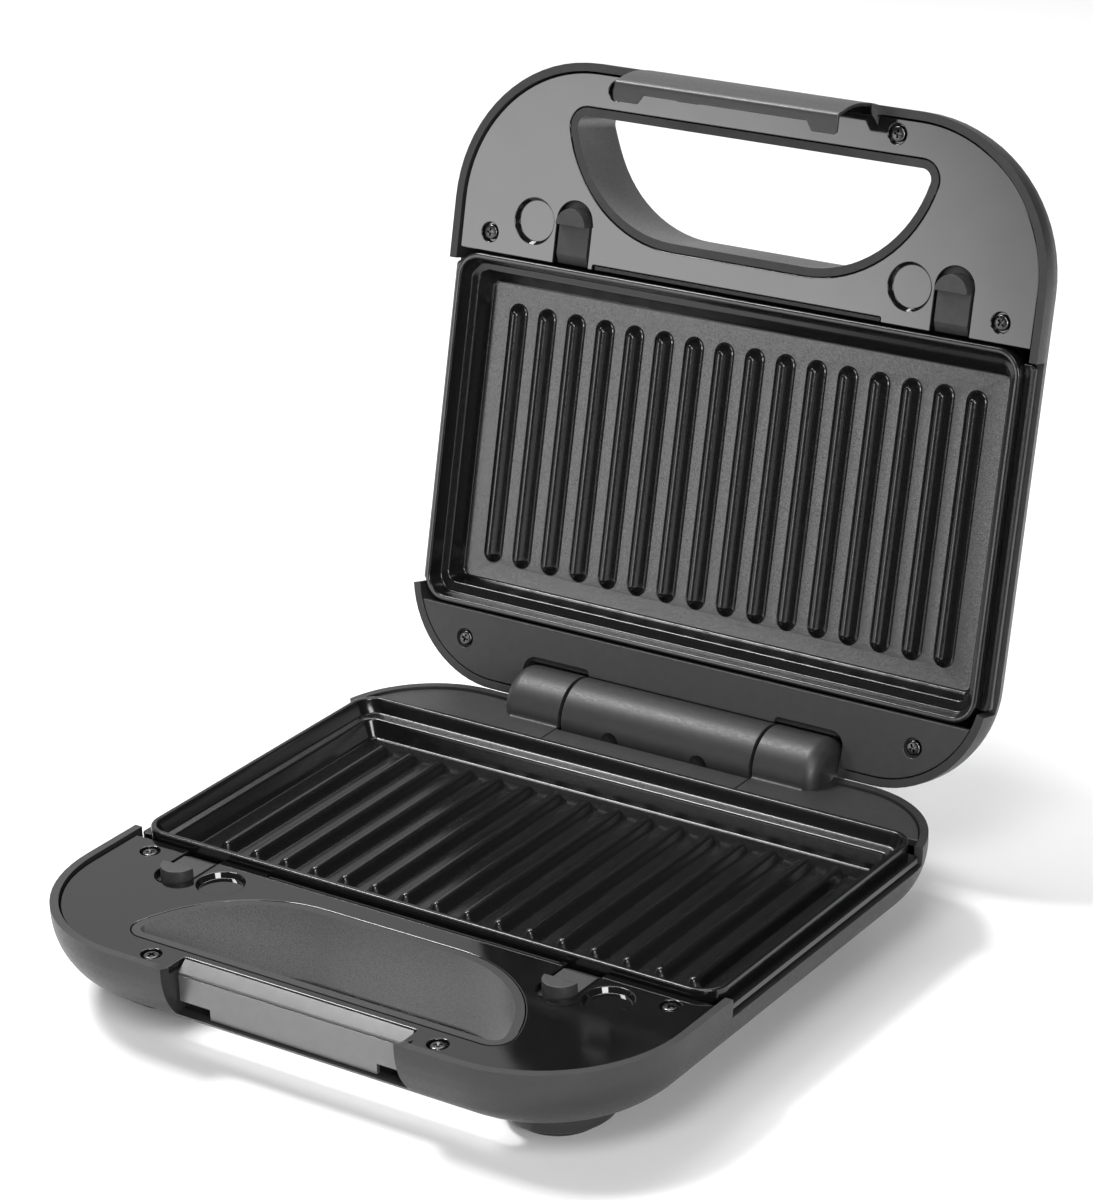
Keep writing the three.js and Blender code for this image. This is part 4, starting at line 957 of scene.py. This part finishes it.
def add_island(obj, skin, place):
    """Joins another closed shape into a piece."""
    extra = build("extra", skin, place, obj.data.materials[0])
    work = bmesh.new()
    work.from_mesh(obj.data)
    work.from_mesh(extra.data)
    work.to_mesh(obj.data)
    work.free()
    mesh = extra.data
    bpy.data.objects.remove(extra)
    bpy.data.meshes.remove(mesh)


make_shell("base", to_base, BASE_REAR_RIM, HINGE_Z, extras=[ledge(), *(foot_boss(x, y) for x, y in FEET)])
make_shell("lid", to_lid, LID_REAR_RIM, -HINGE_Z, lens_places=list(LENSES.values()), extras=[ledge()])

# ---- front covers ----


def front_cover_outline(front_radius, notched):
    """Outline with the tab slots and any front notch, anticlockwise from the rear right corner."""
    side = HALF_WIDTH - COVER_INSET
    front = FRONT + COVER_INSET
    corners = [(side, COVER_REAR, COVER_CORNER)]
    breaks = [(x, "slot") for x in TAB_X] + [(0, "step")]
    for x, kind in sorted(breaks, reverse=True):
        half, depth, radius = (SLOT_HALF_WIDTH, SLOT_FRONT, SLOT_HALF_WIDTH - 0.01)
        if kind == "step":
            half, depth, radius = (COVER_STEP_HALF_WIDTH, COVER_REAR - COVER_STEP, 0.5)
        corners += [(x + half, COVER_REAR, 0.5), (x + half, depth, radius)]
        corners += [(x - half, depth, radius), (x - half, COVER_REAR, 0.5)]
    corner = front_radius - COVER_INSET
    corners += [(-side, COVER_REAR, COVER_CORNER), (-side, front, corner)]
    if notched:
        for way in (-1, 1):
            notch = [(way * NOTCH_HALF_WIDTH, front, 0.7), (way * NOTCH_HALF_WIDTH, NOTCH_REAR, 0.7)]
            corners += notch if way < 0 else reversed(notch)
    corners.append((side, front, corner))
    return outline(corners, 4)


def recess(x, y, top):
    """Screw recess, as a blind feature of a cover."""
    floor = top - RECESS_DEPTH
    edge = rounded_edge(COVER_EDGE, top, 1)[::-1]
    return circle(x, y, RECESS_RADIUS), edge + [(0, floor + 0.15), (-0.15, floor)]


def dimple(x, y):
    """Round dimple with a sloped side and a flat floor."""
    ring = circle(x, y, DIMPLE_RADIUS, 64)
    run = DIMPLE_RADIUS - DIMPLE_FLOOR_RADIUS
    rings = [(0.25, 0), (0.1, -0.04), (-0.05, -0.15), (-run + 0.15, -DIMPLE_DEPTH + 0.12)]
    rings += [(-run, -DIMPLE_DEPTH + 0.03), (-run - 0.15, -DIMPLE_DEPTH)]
    return ring, [(offset, COVER_TOP + z) for offset, z in rings]


def make_front_cover(half, place, notched):
    blind = [dimple(x, DIMPLE_Y) for x in DIMPLE_X]
    for x, y in (SIDE_SCREW, FRONT_SCREW):
        blind += [recess(x, y, COVER_TOP), recess(-x, y, COVER_TOP)]
    plan = front_cover_outline(FRONT_CORNER[half], notched)
    skin = slab(plan, COVER_TOP - COVER_THICKNESS, COVER_TOP, through=[handle_outline(0)], blind=blind)
    add_piece(f"{half}_front_cover", skin, place, GLOSS, half, flat_fills=True)


make_front_cover("base", to_base, notched=True)
make_front_cover("lid", to_lid, notched=False)

# ---- rear covers, knuckles and barrel ----


def rear_cover_corner(side):
    """Rounded rear corner of a cover as sharp corners, from its front edge to the rear on the right side."""
    radius = REAR_RADIUS - REAR_COVER_INSET
    centre_y = REAR - REAR_RADIUS
    start = math.degrees(math.asin((REAR_COVER_FRONT - centre_y) / radius))
    corners = [(side * x, y, 0) for x, y in arc(HALF_WIDTH - REAR_RADIUS, centre_y, radius, start, 90, 14)]
    return corners if side > 0 else corners[::-1]


def make_lid_rear_cover():
    """Rear cover of the lid, cut away round both knuckles and cut back along the barrel."""
    rear = REAR - REAR_COVER_INSET
    knuckle_front = LID_COVER_KNUCKLE_FRONT
    outer = KNUCKLE_OUTER + LID_COVER_KNUCKLE_GAP
    cut = [
        (outer, rear, 1.5),
        (outer, knuckle_front, 5),
        (BARREL_HALF_LENGTH + 0.2, knuckle_front, 1.2),
        (BARREL_HALF_LENGTH - 0.6, LID_COVER_BARREL_FRONT, 0.4),
    ]
    mirrored = [(-x, y, radius) for x, y, radius in reversed(cut)]
    corners = [*rear_cover_corner(1), *cut, *mirrored, *rear_cover_corner(-1)]
    x, y = REAR_SCREW
    blind = [recess(x, y, LID_REAR_TOP), recess(-x, y, LID_REAR_TOP)]
    skin = slab(outline(corners, 5), LID_REAR_TOP - COVER_THICKNESS, LID_REAR_TOP, blind=blind)
    add_piece("lid_rear_cover", skin, to_lid, MATTE, "lid")


def make_knuckle_cover(side, name):
    """One side of the base's rear cover with its hinge knuckle."""
    inner = KNUCKLE_INNER
    corners = [(inner, REAR_COVER_FRONT, 0.5), *rear_cover_corner(1), (inner, REAR - REAR_COVER_INSET, 0.5)]
    plate = slab(outline(corners, 5), BASE_REAR_TOP - COVER_THICKNESS, BASE_REAR_TOP)
    length = KNUCKLE_OUTER - inner
    profile = [(0, 0), (BARREL_RADIUS - 0.4, 0), (BARREL_RADIUS - 0.1, 0.1), (BARREL_RADIUS, 0.45)]
    for turn in steps_to(math.pi / 2, 8):
        inset = KNUCKLE_ROUND * (1 - math.cos(turn))
        profile.append((BARREL_RADIUS - inset, length - KNUCKLE_ROUND * (1 - math.sin(turn))))
    profile.append((0, length))
    knuckle = along_x(turned(profile, 96), inner, HINGE_Y, HINGE_Z)
    plate.join(knuckle)
    plate.join(knuckle_cove(inner + 0.3, KNUCKLE_OUTER - 4.2))
    if side < 0:
        plate.moved(Matrix.Scale(-1, 4, (1, 0, 0)))
    add_piece(name, plate, to_base, MATTE, "base")


def knuckle_cove(x0, x1):
    """Small cove where the knuckle meets the cover, sunk a little into both."""
    front = HINGE_Y - BARREL_RADIUS
    start = front - KNUCKLE_COVE
    section = [(front + 1.5, BASE_REAR_TOP - 0.5), (start - 0.3, BASE_REAR_TOP - 0.5)]
    for turn in steps_to(math.pi / 2, 5):
        rise = 0.02 + KNUCKLE_COVE * (1 - math.cos(turn))
        section.append((start + KNUCKLE_COVE * math.sin(turn), BASE_REAR_TOP + rise))
    section.append((front + 1.5, BASE_REAR_TOP + KNUCKLE_COVE))
    return extruded(section, x0, x1)


def make_centre_strip():
    half = KNUCKLE_INNER - STRIP_GAP
    plan = rounded_box(-half, half, REAR_COVER_FRONT, STRIP_REAR, STRIP_CORNER, STRIP_CORNER)
    skin = slab(plan, BASE_REAR_TOP - COVER_THICKNESS, BASE_REAR_TOP)
    add_piece("base_centre_strip", skin, to_base, MATTE, "base")


def make_barrel():
    """Hinge barrel with softened ends and two small holes low on its front."""
    half = BARREL_HALF_LENGTH
    end = [(BARREL_RADIUS - 0.5, half), (BARREL_RADIUS - 0.12, half - 0.12), (BARREL_RADIUS, half - 0.5)]
    middle = [(BARREL_RADIUS, x) for x in (half * 0.5, 0, -half * 0.5)]
    profile = [(0, half), *end, *middle, *((r, -x) for r, x in reversed(end)), (0, -half)]
    barrel = build("hinge_barrel", along_x(turned(profile, 96), 0, HINGE_Y, HINGE_Z), to_base, MATTE.material)
    for side in (-1, 1):
        radius, depth = BARREL_HOLE_RADIUS, BARREL_HOLE_DEPTH
        drill = turned([(0, -depth), (radius, -depth), (radius, depth), (0, depth)], 32)
        turn = Matrix.Rotation(math.radians(90 + BARREL_HOLE_DEGREES), 4, "X")
        centre = Matrix.Translation((side * BARREL_HOLE_X, HINGE_Y, HINGE_Z))
        drill.moved(centre @ turn @ Matrix.Translation((0, 0, BARREL_RADIUS)))
        carve(barrel, build("drill", drill, to_base, MATTE.material))
    stand_for(shade(barrel), "lid")


make_lid_rear_cover()
make_knuckle_cover(-1, "base_knuckle_cover_left")
make_knuckle_cover(1, "base_knuckle_cover_right")
make_centre_strip()
make_barrel()

# ---- grill plates ----


def plate_ring(half_width, front, rear, radius):
    return rounded_box(-half_width, half_width, front, rear, radius, radius, 9)


def rib_outline(x, inset):
    """Long outline with half-round ends."""
    radius = RIB_FOOT - inset
    rear = arc(x, RIB_REAR - RIB_FOOT, radius, 0, 180, 12)
    return rear + arc(x, RIB_FRONT + RIB_FOOT, radius, 180, 360, 12)


def make_grill_plate(half, place):
    """Ribbed pan with a rounded rim, a ledge in its wall and a flange at each side."""
    skin = Skin()
    rim_outer = plate_ring(PLATE_HALF_WIDTH, PLATE_FRONT, PLATE_REAR, PLATE_RADIUS)
    sections = [(plate_ring(*PLATE_UNDERSIDE), PLATE_FLOOR - PLATE_UNDERSIDE_DROP)]
    sections += [(grown(rim_outer, 0), z) for z in (-7, -2)]
    for offset, z in rounded_edge(PLATE_EDGE, PLATE_RIM_TOP, -1):
        sections.append((grown(rim_outer, offset), z))
    lip = grown(rim_outer, -PLATE_RIM_WIDTH)
    for offset, z in reversed(rounded_edge(PLATE_EDGE, PLATE_RIM_TOP, 1)):
        sections.append((grown(lip, offset), z))
    sections.append((grown(lip, -0.35), -2.4))
    sections += [(plate_ring(*plan), z) for *plan, z in PLATE_WALL]
    levels = [skin.level(plan, z) for plan, z in sections]
    skin.bridge_all(levels)
    skin.fill([levels[0]])
    feet = []
    for i in range(RIB_COUNT):
        x = (i - (RIB_COUNT - 1) / 2) * RIB_PITCH
        rings = [skin.level(rib_outline(x, inset), PLATE_FLOOR + rise) for inset, rise in RIB_SECTION]
        skin.bridge_all(rings)
        feet.append(rings[0])
        skin.fill([rings[-1]])
    skin.fill([levels[-1], *feet])
    for side in (-1, 1):
        front, rear = BAY_FRONT + FLANGE_GAP, BAY_REAR - FLANGE_GAP
        flange = [(side * FLANGE_INNER, front, 0.8), (side * FLANGE_OUTER, front, 1.6)]
        flange += [(side * FLANGE_OUTER, rear, 1.6), (side * FLANGE_INNER, rear, 0.8)]
        if side < 0:
            flange.reverse()
        skin.join(slab(outline(flange, 12), FLANGE_BOTTOM, FLANGE_TOP, edge=0.5, bottom_edge=0.4))
    add_piece(f"{half}_grill_plate", skin, place, COATING, f"{half}_plate", 50)


make_grill_plate("base", to_base)
make_grill_plate("lid", to_lid)

# ---- release tabs ----


def make_tab(half, side, x, place):
    """Half-round button with a straight back, on a tongue that runs to the plate."""
    under = COVER_UNDER
    radius = BUTTON_RADIUS
    round_front = arc(x, BUTTON_Y, radius, 180, 360, 28)[1:-1]
    half_disc = [(x + radius, BUTTON_Y), (x - radius, BUTTON_Y), *round_front]
    skin = Skin()
    edge = rounded_edge(TAB_EDGE, COVER_TOP + BUTTON_HEIGHT, -1)
    rings = [(0, under - 1)] + [(-0.12 + offset, z) for offset, z in edge]
    for end in swept(skin, half_disc, rings):
        skin.fill([end])
    tongue_top = COVER_TOP - 0.2
    section = [
        (BUTTON_Y - 1, under - 1),
        (TONGUE_REAR, under - 1),
        (TONGUE_REAR, tongue_top - 1.9),
        (TONGUE_REAR - 0.3, tongue_top - 1.6),
        (TONGUE_BEND + 0.2, tongue_top - 0.08),
        (TONGUE_BEND - 0.3, tongue_top),
        (BUTTON_Y - 1, tongue_top),
    ]
    skin.join(extruded(section, x - radius, x + radius))
    wide, narrow = CARRIER_HALF_WIDTH, CARRIER_LIP_HALF_WIDTH
    carrier = rounded_box(x - wide, x + wide, CARRIER_FRONT, CARRIER_REAR, 0.5, 0.5)
    skin.join(slab(carrier, under - CARRIER_THICKNESS, under, edge=0.2))
    lip = rounded_box(x - narrow, x + narrow, CARRIER_LIP_FRONT, CARRIER_LIP_REAR, 2, 0)
    skin.join(slab(lip, under - CARRIER_LIP_THICKNESS, under, edge=0.1))
    add_piece(f"{half}_release_tab_{side}", skin, place, TAB, f"{half}_tab_{side}", 30)


for number, tab_x in enumerate(TAB_X):
    make_tab("base", ("left", "right")[number], tab_x, to_base)
    make_tab("lid", ("right", "left")[number], tab_x, to_lid)

# ---- latch and catch ----


def make_latch():
    """Curved clip with a folded lip and two hooked feet."""
    outer = smooth_line([*LATCH_BACK, LATCH_BEND], 4)
    line = outer[:-1] + arc(*LATCH_BEND_CENTRE, LATCH_BEND_RADIUS, 180, 90, 5)
    half = LATCH_HALF_WIDTH
    hook_end = -FOOT_INNER + LATCH_FOOT_SLOPE
    columns = [-half, -half + LATCH_CORNER, -FOOT_INNER - 1.2, -FOOT_INNER, hook_end, -20, -10, 0]
    columns += [-x for x in reversed(columns[:-1])]
    skin = Skin()
    grid = []
    for x in columns:
        reach = LIP_REAR if abs(x) < FOOT_INNER else LATCH_FOOT_REAR
        if abs(x) == half:
            reach = LATCH_FOOT_REAR - LATCH_CORNER
        start = line[-1][0]
        lip = [(start + (reach - start) * k / 4, LIP_Z) for k in range(1, 5)]
        grid.append(skin.add((x, y, z) for y, z in line + lip))
    skin.bridge_all(grid, closed=False)
    latch = build("latch", skin, to_lid, LATCH.material, closed=False)
    thicken(latch, LATCH_SHEET, 0.3, 3, 45)
    flat = LUG_RADIUS - LUG_EDGE
    lug_profile = [(0, 0), (flat, 0), (LUG_RADIUS, LUG_EDGE), (LUG_RADIUS, LUG_LENGTH - LUG_EDGE)]
    lug_profile += [(flat, LUG_LENGTH), (0, LUG_LENGTH)]
    arm = [(-229, -13), (LUG_Y, -12.6), (LUG_Y, -7.4), (-229, -7)]
    for side in (-1, 1):
        add_island(latch, along_x(turned(lug_profile, 32), side * (half - 2.1), LUG_Y, LUG_Z, side), to_lid)
        span = sorted((side * (half - 2.0), side * (half - 0.3)))
        add_island(latch, extruded(arm, *span), to_lid)
    stand_for(shade(latch, 35), "latch")


def make_catch():
    """Folded sheet with a sloped top, a crease, an upright face and a hook recess at each end."""
    face = CATCH_FACE
    crease = COVER_TOP - CATCH_DROP
    half = CATCH_HALF_WIDTH
    foot = CATCH_FOOT_INNER
    face_top = crease - 1.05
    top = [(-218.2, COVER_TOP - 0.15), (face + 0.15, crease + 0.25), (face - 0.05, crease)]
    top += [(face + 0.5, crease - 0.3), (face + 0.5, crease - 0.75), (face, face_top)]
    skin = Skin()
    grid = []
    for x in (-half, -foot, -foot + 0.02, -20, 0, 20, foot - 0.02, foot, half):
        low = CATCH_FOOT_BOTTOM if abs(x) >= foot else CATCH_BOTTOM
        upright = [(face, face_top + (low - face_top) * k / 4) for k in range(1, 5)]
        grid.append(skin.add((x, y, z) for y, z in top + upright))
    skin.bridge_all(grid, closed=False)
    catch = build("latch_catch", skin, to_base, CATCH.material, closed=False)
    thicken(catch, CATCH_SHEET, 0.15, 2, 50)
    stand_for(shade(catch, 30), "base")


make_latch()
make_catch()

# ---- screws, feet, lenses and the nodes that keep their CAD shape ----


def screw_mesh():
    """Pan head with a cross recess, at the origin with its seat at Z = 0."""
    head = [(0, 0), (HEAD_RADIUS - 0.1, 0), (HEAD_RADIUS, 0.15), (HEAD_RADIUS, HEAD_SIDE)]
    for turn in steps_to(math.pi / 2, 6)[1:]:
        radius = HEAD_RADIUS - HEAD_ROUND * (1 - math.cos(turn))
        head.append((radius, HEAD_SIDE + HEAD_CROWN * math.sin(turn)))
    head += [(1.0, 1.56), (0, 1.58)]
    screw = build("screw", turned(head, 40), Matrix.Scale(MM, 4), SCREW.material)
    for turn in (math.radians(45), math.radians(135)):
        blade = Skin()
        length, width = CROSS_HALF_LENGTH, CROSS_HALF_WIDTH
        low = blade.level(rectangle(length * CROSS_TAPER, width * CROSS_TAPER), 1.6 - CROSS_DEPTH)
        high = blade.level(rectangle(length, width), 1.9)
        blade.bridge(low, high)
        blade.faces += [tuple(low), tuple(high)]
        blade.moved(Matrix.Rotation(turn, 4, "Z"))
        carve(screw, build("blade", blade, Matrix.Scale(MM, 4), SCREW.material))
    mesh = screw.data
    bpy.data.objects.remove(screw)
    return mesh


screw_head = screw_mesh()


def make_screw(name, body, place, x, y, top, turn):
    mesh = screw_head.copy()
    mesh.transform(Matrix.Rotation(turn, 4, "Z"))
    mesh.transform(place @ Matrix.Translation((x, y, top - RECESS_DEPTH)) @ Matrix.Scale(1 / MM, 4))
    screw = bpy.data.objects.new(name + PIECE_SUFFIX, mesh)
    bpy.context.scene.collection.objects.link(screw)
    stand_for(shade(screw, 35), body)


def make_screws(half, place, kinds):
    for number, (kind, (x, y), top) in enumerate(kinds):
        for side in (-1, 1):
            is_left = (side < 0) == (half == "base")
            name = f"{half}_screw_{kind}_{'left' if is_left else 'right'}"
            turn = math.radians(25 + 37 * number + 20 * side)
            make_screw(name, half, place, side * x, y, top, turn)


FRONT_COVER_SCREWS = [("side", SIDE_SCREW, COVER_TOP), ("front", FRONT_SCREW, COVER_TOP)]
make_screws("base", to_base, FRONT_COVER_SCREWS)
make_screws("lid", to_lid, [*FRONT_COVER_SCREWS, ("rear", REAR_SCREW, LID_REAR_TOP)])


def make_foot(name, x, y):
    """Rubber pad with a softened tread."""
    profile = [(0, PAD_BOTTOM)]
    for turn in steps_to(math.pi / 2, 4):
        edge_z = PAD_BOTTOM + PAD_EDGE - PAD_EDGE * math.cos(turn)
        profile.append((PAD_TREAD_RADIUS + PAD_EDGE * math.sin(turn), edge_z))
    profile += [(PAD_RADIUS - 0.2, PAD_TOP - 0.4), (PAD_RADIUS, PAD_TOP), (0, PAD_TOP)]
    skin = turned(profile, 56).moved(Matrix.Translation((x, y, 0)))
    add_piece(name, skin, to_base, RUBBER, "base")


for foot_name, (foot_x, foot_y) in zip(("front_left", "front_right", "rear_left", "rear_right"), FEET):
    make_foot(f"foot_{foot_name}", foot_x, foot_y)


def make_lens(name, finish):
    """Coloured lens with a low dome."""
    x, y = LENSES[name]
    low = SHELL_BOTTOM + 0.15
    profile = [(0, low)]
    for turn in steps_to(math.pi / 2, 6)[1:]:
        profile.append(((LENS_RADIUS - 0.1) * math.sin(turn), low + LENS_DOME * (1 - math.cos(turn))))
    profile += [(LENS_RADIUS, low + 0.8), (LENS_RADIUS, LENS_TOP), (0, LENS_TOP)]
    skin = turned(profile, 32).moved(Matrix.Translation((x, y, 0)))
    add_piece(name, skin, to_lid, finish, "lid")


make_lens("power_lens", RED_LENS)
make_lens("ready_lens", GREEN_LENS)

# CAD nodes that show as they are, by finish
CARRIED = {
    STEEL: ["hinge_pin", "latch_pin", "base_heating_element", "lid_heating_element", "thermal_fuse"],
    REFLECTOR: ["base_heater_tray", "lid_heater_tray"],
    CERAMIC: ["base_thermostat", "lid_thermostat", "terminal_block"],
    RUBBER: ["cord_gland"],
}
CARRIED[STEEL] += [f"{half}_tab_spring_{side}" for half in ("base", "lid") for side in ("left", "right")]
for carried_finish, names in CARRIED.items():
    for node_name in names:
        nodes[node_name].data.materials.clear()
        nodes[node_name].data.materials.append(carried_finish.material)

# ---- floor, lights and camera ----


def make_floor():
    mesh = bpy.data.meshes.new("floor")
    corners = [(x, y, 0) for x, y in rectangle(FLOOR_HALF_SIZE, FLOOR_HALF_SIZE)]
    mesh.from_pydata(corners, [], [(0, 1, 2, 3)])
    pale = Finish("pale_floor", grey(0.9), 0.6)
    pale.uneven(6, 0.55, 0.65)
    mesh.materials.append(pale.material)
    floor = bpy.data.objects.new("floor", mesh)
    bpy.context.scene.collection.objects.link(floor)


def softbox(name, place, target, size, watts):
    """A rectangular area light aimed at a point."""
    lamp = bpy.data.lights.new(name, "AREA")
    lamp.shape = "RECTANGLE"
    lamp.size, lamp.size_y = size
    lamp.energy = watts
    light = bpy.data.objects.new(name, lamp)
    light.location = place
    light.rotation_euler = (Vector(target) - Vector(place)).to_track_quat("-Z", "Y").to_euler()
    bpy.context.scene.collection.objects.link(light)


def make_world():
    """Dim studio with a bright backdrop behind the press on the left and a key panel in front on the left."""
    world = bpy.data.worlds.new("studio")
    world.use_nodes = True
    tree = world.node_tree
    direction = tree.nodes.new("ShaderNodeTexCoord").outputs["Generated"]
    total = tree.nodes.new("ShaderNodeVectorMath")
    total.operation = "ADD"
    for socket, (panel, levels) in zip(total.inputs, (BACKDROP, KEY)):
        facing = tree.nodes.new("ShaderNodeVectorMath")
        facing.operation = "DOT_PRODUCT"
        facing.inputs[1].default_value = Vector(panel).normalized()
        tree.links.new(direction, facing.inputs[0])
        ramp = tree.nodes.new("ShaderNodeValToRGB")
        ramp.color_ramp.interpolation = "EASE"
        for element, (place, level) in zip(ramp.color_ramp.elements, levels):
            element.position = place
            element.color = (level, level, level, 1)
        tree.links.new(facing.outputs["Value"], ramp.inputs["Fac"])
        tree.links.new(ramp.outputs["Color"], socket)
    background = tree.nodes["Background"]
    tree.links.new(total.outputs["Vector"], background.inputs["Color"])
    background.inputs["Strength"].default_value = 1.0
    bpy.context.scene.world = world


def make_camera():
    """Long-lens view from the front right, a little above the press."""
    level = Vector((math.cos(CAMERA_AZIMUTH), math.sin(CAMERA_AZIMUTH), 0))
    outwards = Vector((math.sin(CAMERA_AZIMUTH), -math.cos(CAMERA_AZIMUTH), 0))
    back = outwards * math.cos(CAMERA_ELEVATION) + Vector((0, 0, math.sin(CAMERA_ELEVATION)))
    upright = back.cross(level)
    right = level * math.cos(CAMERA_ROLL) + upright * math.sin(CAMERA_ROLL)
    up = upright * math.cos(CAMERA_ROLL) - level * math.sin(CAMERA_ROLL)
    lens = bpy.data.cameras.new("camera")
    lens.lens = CAMERA_LENS
    lens.sensor_width = CAMERA_SENSOR
    lens.clip_start = 0.05
    camera = bpy.data.objects.new("camera", lens)
    turn = Matrix((right, up, back)).transposed().to_4x4()
    camera.matrix_world = Matrix.Translation(CAMERA_PLACE) @ turn
    bpy.context.scene.collection.objects.link(camera)
    bpy.context.scene.camera = camera


make_floor()
make_world()
for light_name, light_settings in SOFTBOXES.items():
    softbox(light_name, *light_settings)
make_camera()
bpy.context.scene.view_settings.view_transform = "Standard"
